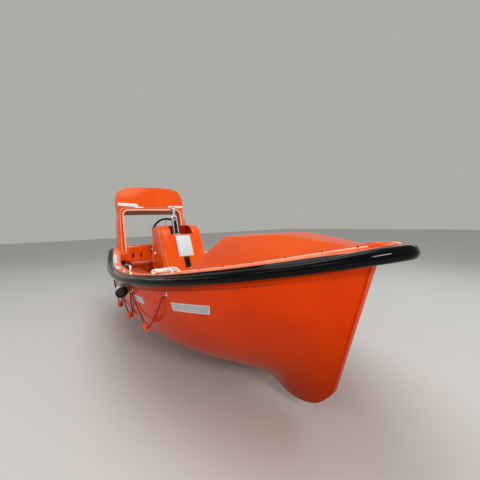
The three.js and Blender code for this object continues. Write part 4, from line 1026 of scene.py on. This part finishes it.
def add_arch():
    outer, hole = [spline(both_sides(line), 6) for line in (ARCH_OUTER, ARCH_HOLE)]
    hole_back = [(y, z - under_drop(z)) for y, z in hole]
    rings = []
    for ahead, inside in ((-ARCH_DEPTH, hole_back), (0, hole)):
        rings.append([on_arch(y, z, ahead) for y, z in outer + inside[::-1]])
    arch = piece_of("arch_form", lofted(rings), GELCOAT, bevel=9, steps=4, angle=50, smooth=40)
    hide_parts("arch")


# A dark sheet just inside the opening's faces: painted shade under the arch's top and on its inner sides
def add_arch_shade_sheet():
    back = SHADE_IN - ARCH_DEPTH
    rings = []
    for ahead, share, lift in ((back, 1, 0), (back, 1, SHADE_THICK), (-SHADE_IN, 0.03, SHADE_THICK),
                               (-SHADE_IN, 0.03, 0)):
        ring = []
        for y, z in spline(both_sides(ARCH_HOLE), 6):
            inward = lift if abs(y) > SHADE_TOP_HALF else 0
            down = under_drop(z) * share + (lift if z > SHADE_TOP else 0)
            ring.append(on_arch(y - copysign(inward, y), z - down, ahead))
        rings.append(ring)
    piece_of("arch_shade_sheet", lofted(rings, closed=False, looped=True), PAINTED_SHADE, smooth=40)


def arch_bead(name, line, width, rise, material):
    form = bead(spline(line, 6), width, rise, ARCH_BEAD, ARCH_BEAD_SINK, on_arch)
    piece_of(name, form, material, smooth=50)


def add_arch_trim():
    for name, shift, width, rise, look in RIMS:
        moved = []
        for y, z in both_sides(ARCH_HOLE):
            out = shift * (1 if z < RIM_CORNER else 0.6)
            up = shift * clamp((z - RIM_TOP_FROM) / RIM_TOP_REACH, 0, 1)
            moved.append((y + copysign(out, y), z + up))
        arch_bead(name, moved, width, rise, look)
    arch_bead("arch_frame_line", both_sides(ARCH_FRAME), 8, 6, PAINTED_HIGHLIGHT)
    for n, corners in enumerate(STRIPS):
        piece_of(f"arch_strip_{n + 1}", plate(corners, (-1, 1.4), on_arch), WHITE, bevel=0.5, steps=2)


add_arch()
add_arch_shade_sheet()
add_arch_trim()

# Console: softened body with a panel seam, edge strip, ring and cleat on its starboard side; the seam is pale
# as painted highlight and the panel line dark as painted shade
CONSOLE_SIDE, EDGE_STRIP_SIDE = -295, -253
CONSOLE_SEAM = [
    (-1068, 330), (-1076, 450), (-1090, 640), (-1098, 780), (-1088, 826), (-1058, 846), (-1010, 853),
    (-905, 853), (-858, 846), (-812, 820), (-770, 765), (-650, 530), (-560, 352),
]
PANEL_LINE = [(-1086, 742), (-1000, 742), (-900, 742), (-790, 742)]
EDGE_STRIP = [(-1044, 80), (-1078, 330), (-1112, 560), (-1126, 700), (-1130, 800)]
SIDE_BEAD, SIDE_BEAD_SINK = [(0.5, 0.4), (0.25, 1)], 2
RING_X, RING_Z, RING_RADIUS = -977, 533, 19
RING_PLATE = [(0.1, -1), (26, -1), (26, 1.5), (23, 3), (0.1, 3)]
CLEAT_HORN = [
    (-1168, -300, 604), (-1160, -306, 588), (-1148, -308, 572), (-1136, -306, 556), (-1128, -300, 538),
]
CLEAT_FOOT = [(-1152, -300, 580), (-1128, -278, 576), (-1110, -258, 572)]


def side_bead(name, line, width, rise, material, side=CONSOLE_SIDE):
    """A rounded bead on the console's flat side along a line of x and z pairs."""
    form = bead(line, width, rise, SIDE_BEAD, SIDE_BEAD_SINK, lambda x, z, out: (x, side - out, z))
    piece_of(name, form, material, smooth=50)


def add_console():
    soften("console_body", GELCOAT, 7, 4, angle=28)
    side_bead("console_seam", spline(CONSOLE_SEAM, 5), 6, 1.8, PAINTED_HIGHLIGHT)
    side_bead("console_panel_line", PANEL_LINE, 5, 1.4, PAINTED_SHADE)
    side_bead("console_edge_strip", spline(EDGE_STRIP, 5), 9, 4, BLACK, EDGE_STRIP_SIDE)
    ring = [(RING_X + RING_RADIUS * cos(turn), CONSOLE_SIDE - 5, RING_Z + RING_RADIUS * sin(turn))
            for turn in turns(24)]
    piece_of("console_ring", tube(ring, 3.5, 10), STEEL, smooth=60)
    form = turned_about((RING_X, CONSOLE_SIDE, RING_Z), (0, -1, 0), RING_PLATE)
    piece_of("console_ring_plate", form, STEEL)
    piece_of("cleat_horn", tube(spline(CLEAT_HORN, 5), 8), BLACK, smooth=60)
    piece_of("cleat_foot", tube(spline(CLEAT_FOOT, 4), 9), STEEL, smooth=60)


add_console()

# Notch in the console: dark sheets on its walls as painted shade, and a cream sill; x and z of its side
# walls, y and z of its aft wall, x and z of its sill
NOTCH_SIDE = [(-954, 782), (-716, 782), (-764, 848), (-832, 892), (-900, 905), (-954, 905)]
NOTCH_AFT = [(-153, 782), (153, 782), (153, 905), (-153, 905)]
NOTCH_SILL = [(-745, 779), (-712.5, 779), (-714, 784.5), (-745, 784.5)]
NOTCH_SIDE_Y, NOTCH_AFT_X, NOTCH_SILL_Y = (152.2, 154.5), (-956, -953), (-140, 140)


def beside_centre(x, z, y):
    return x, y, z


def add_notch_shade_and_sill():
    for name, side in SIDES:
        form = plate(NOTCH_SIDE, [side * y for y in NOTCH_SIDE_Y], beside_centre)
        piece_of(f"notch_shade_wall_{name}", form, PAINTED_SHADE)
    piece_of("notch_shade_wall_aft", plate(NOTCH_AFT, NOTCH_AFT_X, lambda y, z, x: (x, y, z)), PAINTED_SHADE)
    piece_of("notch_sill", plate(NOTCH_SILL, NOTCH_SILL_Y, beside_centre), CREAM, bevel=1.2, steps=2)


add_notch_shade_and_sill()

# Moulded wings that carry the backrest out to the side deck, below the arch's feet
WING_FORE, WING_AFT, WING_INNER, WING_FOOT, WING_DROP, WING_LAP = -1720.5, -1806, 484, 384, 3, 4


def add_wings():
    for name, side in SIDES:
        rings = []
        for n in range(5):
            x = mix(WING_FORE, WING_AFT, n / 4)
            edge, z = inside_line(x, DECK_INNER)
            outer, top = edge + WING_LAP, z + stern_lift(x) + LIP_RISE - WING_DROP
            corners = [(WING_INNER, WING_FOOT), (outer, WING_FOOT), (outer, top), (WING_INNER, top)]
            rings.append([(x, side * y, up) for y, up in corners])
        piece_of(f"rest_wing_{name}", lofted(rings), GELCOAT, bevel=7, steps=4)


add_wings()

# Backrest's hand slots: a black back in each hole as painted shade, and a dark raised edge, each with its
# place, profile and width share
SLOT_Y, SLOT_Z = (-414, -291, 291, 414), 452
SLOT_FORMS = [
    ("back", -1727, [(0.1, -2), (38, -2), (38, 2), (0.1, 2)], 0.36),
    ("edge", -1719, [(36, -1), (45, -1), (45, 1.6), (42, 3), (37, 2), (36, -1)], 0.42),
]


def add_slots():
    for n, middle in enumerate(SLOT_Y):
        for name, x, profile, narrow in SLOT_FORMS:
            points, faces = turned_about((x, middle, SLOT_Z), (1, 0, 0), profile)
            flat = [(px, mix(middle, y, narrow), z) for px, y, z in points]
            piece_of(f"slot_{name}_{n + 1}", (flat, faces), BLACK)


add_slots()

# Nodes shown as they are but with rounded edges, and how wide the rounding is
SOFTENED = [
    ("placard", WHITE, 1.2), ("front_strap", BLACK, 2.2), ("backrest", GELCOAT, 9), ("aft_bench", INNER, 14),
    ("side_bench_starboard", INNER, 12), ("side_bench_port", INNER, 12), ("aft_deck", DECK, 4),
    ("aft_bulkhead", INNER, 3), ("locker_bulkhead", INNER, 3), ("floor_panel", DECK, 2.5),
    ("cockpit_sole", INNER, 3), ("liner_starboard", INNER, 2), ("liner_port", INNER, 2),
    ("keel_band", HULL, 6), ("engine_block", GREY, 10), ("shaft", STEEL, 2),
    ("hinge_pin_starboard", STEEL, 1.5), ("hinge_pin_port", STEEL, 1.5), ("hook_post", STEEL, 2.2),
    ("hook_core", BLACK, 2), ("steering_column", BLACK, 3), ("throttle_lever", BLACK, 3),
]
for soft_node, soft_look, soft_width in SOFTENED:
    soften(soft_node, soft_look, soft_width)
soften("lifting_hook", STEEL, 4, body="lifting_hook")
soften("release_lever", RED, 2.5, body="release_lever")
soften("locker_door", DECK, 2.5, body="locker_door")
soften("rudder", GREY, 5, 4, "rudder")

# Dark side plates on the hook's shank, above the post's cheeks: distances ahead and up along the shank
HOOK_FOOT, HOOK_LEAN = (-850, -40, 790), radians(15.01)
HOOK_PLATE = [(-20, 284), (24, 284), (27, 330), (20, 344), (2, 330), (-14, 308)]
HOOK_PLATE_Y = (15.5, 20)


def on_shank(ahead, up, across):
    x, y, z = HOOK_FOOT
    lean_x = ahead * cos(HOOK_LEAN) - up * sin(HOOK_LEAN)
    return x + lean_x, y + across, z + ahead * sin(HOOK_LEAN) + up * cos(HOOK_LEAN)


def add_hook_plates():
    for name, side in SIDES:
        form = plate(HOOK_PLATE, [side * y for y in HOOK_PLATE_Y], on_shank)
        piece_of(f"hook_plate_{name}", form, BLACK, "lifting_hook", bevel=1, steps=2)


add_hook_plates()

# Steering wheel: a thick rim with finger ridges behind, three flat spokes and a domed hub
WHEEL_AT, WHEEL_RADIUS, WHEEL_TUBE = (-1192, -55, 808), 202, 15.5
RIDGE_COUNT, RIDGE_HEIGHT = 32, 1.2
SPOKE_PLACES, SPOKE_DISH = (0.1, 0.3, 0.55, 0.8, 0.97), 8
SPOKE_SECTION = [(-3, -0.8), (-3, 0.8), (0, 1), (3, 0.8), (3, -0.8), (0, -1)]
WHEEL_HUB = [(0.1, -25), (12, -24.5), (24, -21), (32, -14), (34, -6), (34, 12), (30, 16), (24, 20), (0.1, 20)]


def add_wheel_rim():
    cx, cy, cz = WHEEL_AT
    rings = []
    for turn in turns(96)[:-1]:
        ring = []
        for angle in turns(14)[:-1]:
            ridge = RIDGE_HEIGHT * max(0, cos(turn * RIDGE_COUNT)) * max(0, cos(angle))
            size = WHEEL_TUBE + ridge
            reach = WHEEL_RADIUS - 1 + size * sin(angle)
            across, up = reach * cos(turn), reach * sin(turn)
            ring.append((cx - size * cos(angle), cy + across, cz + up))
        rings.append(ring)
    rim = piece_of("wheel_rim", lofted(rings, looped=True), BLACK, "steering_wheel", smooth=60)
    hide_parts("steering_wheel")


def add_wheel_middle():
    cx, cy, cz = WHEEL_AT
    for n in range(3):
        turn = pi / 2 + n * tau / 3
        out_y, out_z = cos(turn), sin(turn)
        rings = []
        for share in SPOKE_PLACES:
            reach, wide, x = WHEEL_RADIUS * share, mix(15, 9, share), cx - SPOKE_DISH * (1 - share)
            rings.append([
                (x + deep, cy + out_y * reach - out_z * wide * flat, cz + out_z * reach + out_y * wide * flat)
                for deep, flat in SPOKE_SECTION
            ])
        piece_of(f"wheel_spoke_{n + 1}", lofted(rings), STEEL, "steering_wheel", smooth=50)
    form = turned_about(WHEEL_AT, (1, 0, 0), WHEEL_HUB, 32)
    piece_of("wheel_hub", form, BLACK, "steering_wheel", smooth=50)


add_wheel_rim()
add_wheel_middle()

# Propeller: three twisted blades on a tapered hub
PROP_AT, PROP_RADIUS = (-1700, 0, -318), 95
PROP_HUB = [(0.1, -34), (10, -33), (17, -28), (21, -14), (23, 0), (23, 14), (20, 18), (0.1, 18)]
BLADE_ROOT, BLADE_WIDTH, BLADE_PITCH, BLADE_THICK, BLADE_CAMBER = 16, 36, (58, 24), (5, 1), 3


def blade_ring(turn, share):
    """A section of the blade that stands at a turn, at a share of its length."""
    cx, _, cz = PROP_AT
    out, across = (cos(turn), sin(turn)), (-sin(turn), cos(turn))
    reach = mix(BLADE_ROOT, PROP_RADIUS, share)
    wide = BLADE_WIDTH * sin(pi * (0.22 + 0.72 * share)) ** 0.7 + 2
    pitch, thick = radians(mix(*BLADE_PITCH, share)), mix(*BLADE_THICK, share)
    ring = []
    for angle in turns(12)[:-1]:
        u, v = wide * cos(angle), thick * sin(angle) + BLADE_CAMBER * cos(angle) ** 2
        lean = u * sin(pitch) * 0.62 + v * cos(pitch)
        side = u * cos(pitch) - v * sin(pitch)
        ring.append((cx + lean, out[1] * reach + across[1] * side, cz + out[0] * reach + across[0] * side))
    return ring


def add_propeller():
    hub = piece_of(
        "propeller_hub", turned_about(PROP_AT, (1, 0, 0), PROP_HUB), BRONZE, "propeller", smooth=50,
    )
    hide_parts("propeller")
    for n in range(3):
        form = lofted([blade_ring(n * tau / 3, k / 12) for k in range(13)])
        piece_of(f"propeller_blade_{n + 1}", form, BRONZE, "propeller", smooth=60)


add_propeller()

# Deck handles: bright legs on round feet with a black grip
HANDLE_AFT, HANDLE_FORE, HANDLE_Y, HANDLE_RISE, HANDLE_RADIUS = -215, 70, 850, 66, 11
HANDLE_SEAT, HANDLE_BEND = 1.2, [(0, 26), (8, 7), (28, 0)]
HANDLE_FOOT = [(0.1, -1), (24, -1), (24, 2.5), (21, 4.5), (13, 5), (12, 9), (0.1, 9)]
GRIP_AFT, GRIP_FORE, GRIP_RADIUS, GRIP_RIDGE = HANDLE_AFT + 30, HANDLE_FORE - 42, 14, 0.5


def add_handle(name, side):
    y = side * HANDLE_Y
    low, high = [sheer_at(x) + DECK_RISE + HANDLE_SEAT for x in (HANDLE_AFT, HANDLE_FORE)]
    low_bar, high_bar = low + HANDLE_RISE, high + HANDLE_RISE
    route = [(HANDLE_AFT, y, low)] + [(HANDLE_AFT + along, y, low_bar - down) for along, down in HANDLE_BEND]
    route += [(HANDLE_FORE - along, y, high_bar - down) for along, down in reversed(HANDLE_BEND)]
    form = tube(spline(route + [(HANDLE_FORE, y, high)], 6), HANDLE_RADIUS, 18)
    bar = piece_of(f"handle_bar_{name}", form, STEEL, smooth=60)
    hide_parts(f"deck_handle_{name}")
    start, end = HANDLE_AFT + HANDLE_BEND[-1][0], HANDLE_FORE - HANDLE_BEND[-1][0]
    places = [mix(GRIP_AFT, GRIP_FORE, n / 8) for n in range(9)]
    grip = [(x, y, mix(low_bar, high_bar, (x - start) / (end - start))) for x in places]
    form = tube(spline(grip, 6), lambda angle, run: GRIP_RADIUS + GRIP_RIDGE * cos(run / 5), 18)
    piece_of(f"handle_grip_{name}", form, BLACK, smooth=60)
    for end_name, x, z in (("aft", HANDLE_AFT, low), ("fore", HANDLE_FORE, high)):
        form = turned_about((x, y, z), (0, 0, 1), HANDLE_FOOT, 24)
        piece_of(f"handle_foot_{name}_{end_name}", form, STEEL, smooth=50)


# Strap roll: wound webbing tied by three bands; a loose fold has a half width and a line of points
ROLL_FROM, ROLL_TO, ROLL_RADIUS = (652, -792), (708, -688), 19
ROLL_BANDS, BAND_AT, BAND_RADIUS, BAND_THICK = (78, 86, 93), 84, 18.6, 4.6
STRAP_FOLDS = [
    (8.5, [(690, -706, 6), (704, -688, 17), (724, -664, 18), (744, -642, 10), (752, -634, -3),
           (748, -636, -12)]),
    (8, [(684, -716, 8), (708, -712, 14), (730, -700, 11), (750, -690, 2), (760, -684, -9),
         (754, -688, -14), (738, -700, -14)]),
    (8, [(700, -690, -4), (716, -666, 0), (738, -644, 1), (752, -628, -7), (756, -622, -24),
         (754, -622, -44)]),
    (8.5, [(664, -764, 6), (650, -788, 9), (638, -808, 0), (634, -812, -9), (640, -806, -16),
           (654, -790, -16)]),
    (7, [(690, -742, 14), (696, -724, 18), (692, -706, 14), (682, -712, 6)]),
]


def wound(angle, run):
    """Radius of the roll: folds of the webbing, a waist under the bands and closed ends."""
    fold = 0.9 * cos(angle * 5 + run / 14) + 0.6 * cos(angle * 2 - run / 9)
    waist = 2.4 * exp(-((run - BAND_AT) / 9) ** 2)
    nearly = 1 if 3 < run < 114 else 0.86
    return (ROLL_RADIUS - 1.6 + fold - waist) * nearly


def folded(width):
    """Radius of a flat loose fold of the given half width."""
    return lambda angle, run: width * (0.42 + 0.58 * abs(cos(angle))) + 0.7 * sin(run / 6)


def add_roll():
    z = sheer_at(ROLL_TO[0]) + LIP_RISE + ROLL_RADIUS - 0.3
    start, end = Vector((*ROLL_FROM, z)), Vector((*ROLL_TO, z))
    route = [tuple(start.lerp(end, n / 24)) for n in range(25)]
    roll = piece_of("strap_bundle", tube(route, wound, 32), WEBBING, smooth=60)
    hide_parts("strap_roll")
    along = (end - start).normalized()
    first = along.orthogonal().normalized() * BAND_RADIUS
    second = along.cross(first)
    for n, place in enumerate(ROLL_BANDS):
        ring = []
        for turn in turns(32):
            middle = start + along * (place + 4 * sin(turn + n * 1.3))
            ring.append(tuple(middle + first * cos(turn) + second * sin(turn)))
        piece_of(f"strap_band_{n + 1}", tube(ring, BAND_THICK, 10), WEBBING, smooth=60)
    for n, (width, line) in enumerate(STRAP_FOLDS):
        at = [(x, y, z + up) for x, y, up in line]
        piece_of(f"strap_fold_{n + 1}", tube(spline(at, 8), folded(width)), WEBBING, smooth=60)


add_roll()

# Round housing under the fender: cream shell, black ring and dark domed glass, on its bracket
HOUSING_X, HOUSING_Z, HOUSING_RADIUS, HOUSING_DROP, HOUSING_CLEAR = 148, 318, 54, 0.45, 15
HOUSING_LENGTH = 64 * hypot(1, HOUSING_DROP)
HOUSING_SHELL = [
    (0.1, -HOUSING_LENGTH), (34, -HOUSING_LENGTH), (45, 5 - HOUSING_LENGTH), (50, 14 - HOUSING_LENGTH),
    (51.5, 24 - HOUSING_LENGTH), (51.5, -22), (53, -20), (53, -14), (51, -12), (46, -12), (46, -6), (0.1, -6),
]
HOUSING_RING = [
    (44, -12), (53.5, -12), (55, -9), (55, -2), (53, 1.5), (48, 2), (45.5, -1), (44, -5), (44, -12),
]
HOUSING_GLASS = [(0.1, -8), (44.5, -8), (44.5, -5), (38, -1.5), (28, 1.2), (15, 3), (0.1, 3.6)]
BRACKET_AFT, BRACKET_FORE = HOUSING_X - 62, HOUSING_X - 14
BRACKET_LOW, BRACKET_TOP = HOUSING_Z - 12, HOUSING_Z + 40


def add_housing():
    y = -(hull_half(HOUSING_X, HOUSING_Z) + HOUSING_RADIUS + HOUSING_CLEAR)

    def turned(profile):
        return turned_about((HOUSING_X, y, HOUSING_Z), (1, 0, -HOUSING_DROP), profile, 40)

    shell = piece_of("housing_shell", turned(HOUSING_SHELL), CREAM, smooth=40)
    piece_of("housing_ring", turned(HOUSING_RING), BLACK, smooth=40)
    piece_of("housing_glass", turned(HOUSING_GLASS), GLASS, smooth=50)
    hull_y = -(hull_half(BRACKET_FORE, BRACKET_TOP) + 0.4)
    corners = [(BRACKET_AFT, BRACKET_LOW), (BRACKET_FORE, BRACKET_LOW), (BRACKET_FORE, BRACKET_TOP),
               (BRACKET_AFT, BRACKET_TOP)]
    piece_of("housing_bracket", plate(corners, (y + 30, hull_y), beside_centre), CREAM, bevel=4, steps=3)
    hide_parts("side_outlet")


add_housing()

# Forms laid on the hull: the place outward of a given x and z
HULL_TREE = BVHTree.FromPolygons(*hull_surface())
RAY_FROM = 1500
PATCH_ACROSS, PATCH_UP = 20, 6


def on_hull(x, z, side, lift):
    """The skin's point at a place along the boat and a height, lifted off it."""
    hit, normal, _, _ = HULL_TREE.ray_cast(Vector((x, side * RAY_FROM, z)), Vector((0, -side, 0)), RAY_FROM)
    if hit is None:
        return x, side * hull_half(x, z), z
    if normal.y * side < 0:
        normal = -normal
    return tuple(hit + normal * lift)


def patch_grid(corners, side, lift):
    """Places over a four-cornered patch of x and z corners: top aft, top fore, low fore, low aft."""
    def place(s, t):
        x, z = [mix(mix(a, b, s), mix(d, c, s), t) for a, b, c, d in zip(*corners)]
        return on_hull(x, z, side, lift)

    down = [j / PATCH_UP for j in range(PATCH_UP + 1)]
    return [[place(i / PATCH_ACROSS, t) for t in down] for i in range(PATCH_ACROSS + 1)]


def add_patch(name, corners, side, material, lift, thick):
    outer = patch_grid(corners, side, lift + thick)
    inner = patch_grid(corners, side, lift)
    rings = [a + b[::-1] for a, b in zip(outer, inner)]
    piece_of(name, lofted(rings), material, smooth=50)


def shrunk(corners, edge):
    middle = [sum(row) / len(corners) for row in zip(*corners)]
    return [tuple(c - copysign(edge, c - m) for c, m in zip(corner, middle)) for corner in corners]


# Reflective tapes: a pale edge with the face on it, each layer with its lift off the skin and thickness
TAPES = [
    [(910, 364), (1260, 394), (1230, 328), (910, 304)],
    [(287, 324), (493, 330), (521, 282), (287, 275)],
    [(-400, 254), (-170, 262), (-170, 210), (-400, 204)],
    [(-1080, 242), (-850, 244), (-850, 192), (-1080, 190)],
]
TAPE_EDGE, EDGE_LAYER, FACE_LAYER = 5, (-0.6, 1.4), (0.4, 0.8)


def add_tapes(name, side):
    for n, corners in enumerate(TAPES):
        add_patch(f"tape_edge_{name}_{n + 1}", corners, side, WHITE, *EDGE_LAYER)
        add_patch(f"tape_face_{name}_{n + 1}", shrunk(corners, TAPE_EDGE), side, TAPE, *FACE_LAYER)


# Eyes of the grab lines: a plate, a bow round the line and a knot of three turns
EYE_PLATE = [(0.1, -4), (19, -4), (19, 1.5), (17, 3), (0.1, 3)]
EYE_KNOTS = [(-4, 2, 12), (5, 0, 12), (0, -9, 10)]
EYE_SEAT_RISE, EYE_BOW_HALF, EYE_BOW_OUT, EYE_BOW_RADIUS, KNOT_RADIUS = 6, 13, 14, 4, 5.5


def add_eyes(name, side):
    for n, x in enumerate(EYES):
        z = sheer_at(x) - EYE_DROP
        seat = on_hull(x, z + EYE_SEAT_RISE, side, 0)
        line_y = side * (hull_half(x, z) + LINE_SEAT)
        piece_of(f"eye_plate_{name}_{n + 1}", turned_about(seat, (0, side, 0), EYE_PLATE, 24), STEEL)
        foot, wide = seat[1] - side * 3, EYE_BOW_HALF
        half_bow = [(wide, foot, 4), (wide, line_y, 4), (wide - 4, line_y + side * (EYE_BOW_OUT - 4), 3)]
        bow = [(x - across, y, z + up) for across, y, up in half_bow]
        bow.append((x, line_y + side * EYE_BOW_OUT, z + 2))
        bow += [(x + across, y, z + up) for across, y, up in reversed(half_bow)]
        piece_of(f"eye_bow_{name}_{n + 1}", tube(spline(bow, 6), EYE_BOW_RADIUS, 10), STEEL, smooth=60)
        for bit, (dx, dz, size) in enumerate(EYE_KNOTS):
            ring = []
            for turn in turns(20):
                across, out = size * 0.5 * cos(turn), 2 + size * 0.5 * sin(turn)
                up = dz + size * 0.35 * cos(turn + bit)
                ring.append((x + dx + across, line_y + side * out, z + up))
            piece_of(f"eye_knot_{name}_{n + 1}_{bit + 1}", tube(ring, KNOT_RADIUS, 10), ROPE, smooth=60)


for fitted_side in SIDES:
    for add_fitting in (add_flange_edge, add_ledge_shade, add_handle, add_tapes, add_eyes):
        add_fitting(*fitted_side)

# Floor and light; each light has a name, a place, an aim, a size, a power and a colour
FLOOR_HALF = 30
WORLD_COLOR, WORLD_STRENGTH = (1.0, 0.975, 0.94, 1), 0.42
LIGHTS = [
    ("key", (0.5, -0.5, 6.5), (-0.4, 0, 0.4), (5, 4), 215, (1, 1, 1)),
    ("front", (8.5, -1.5, 3.6), (0.4, 0, 0.5), (2.2, 0.8), 250, (1, 0.95, 0.88)),
    ("side", (3.5, -7.0, 4.5), (0.4, 0, 0.3), (7, 0.16), 80, (1, 1, 1)),
    ("astern", (-5.5, -7.0, 4.2), (0.4, -0.4, 0.4), (9, 0.12), 80, (1, 1, 1)),
    ("port", (1.0, 6.0, 3.5), (0, 0, 0.4), (5, 2), 60, (1, 1, 1)),
]


def add_floor():
    mesh = bpy.data.meshes.new("floor")
    corners = [(x * FLOOR_HALF, y * FLOOR_HALF, FLOOR_Z) for x, y in ((-1, -1), (1, -1), (1, 1), (-1, 1))]
    mesh.from_pydata(corners, [], [(0, 1, 2, 3)])
    floor = new_object("floor", mesh)
    made = Shader("floor", None, (0.8, 0.8, 0.79), 0.7)
    made.rough(made.noise(3.0), 0.3, 0.7, 0.55, 0.7)
    mesh.materials.append(made.material)


def add_light(name, at, aim, size, power, color):
    data = bpy.data.lights.new(name, "AREA")
    data.shape = "RECTANGLE"
    data.size, data.size_y = size
    data.energy = power
    data.color = color
    lamp = new_object(name, data)
    lamp.location = at
    lamp.rotation_euler = (Vector(aim) - Vector(at)).to_track_quat("-Z", "Y").to_euler()


def add_world():
    world = bpy.data.worlds.new("world")
    world.use_nodes = True
    background = world.node_tree.nodes["Background"]
    background.inputs["Color"].default_value = WORLD_COLOR
    background.inputs["Strength"].default_value = WORLD_STRENGTH
    bpy.context.scene.world = world


add_floor()
add_world()
for light in LIGHTS:
    add_light(*light)
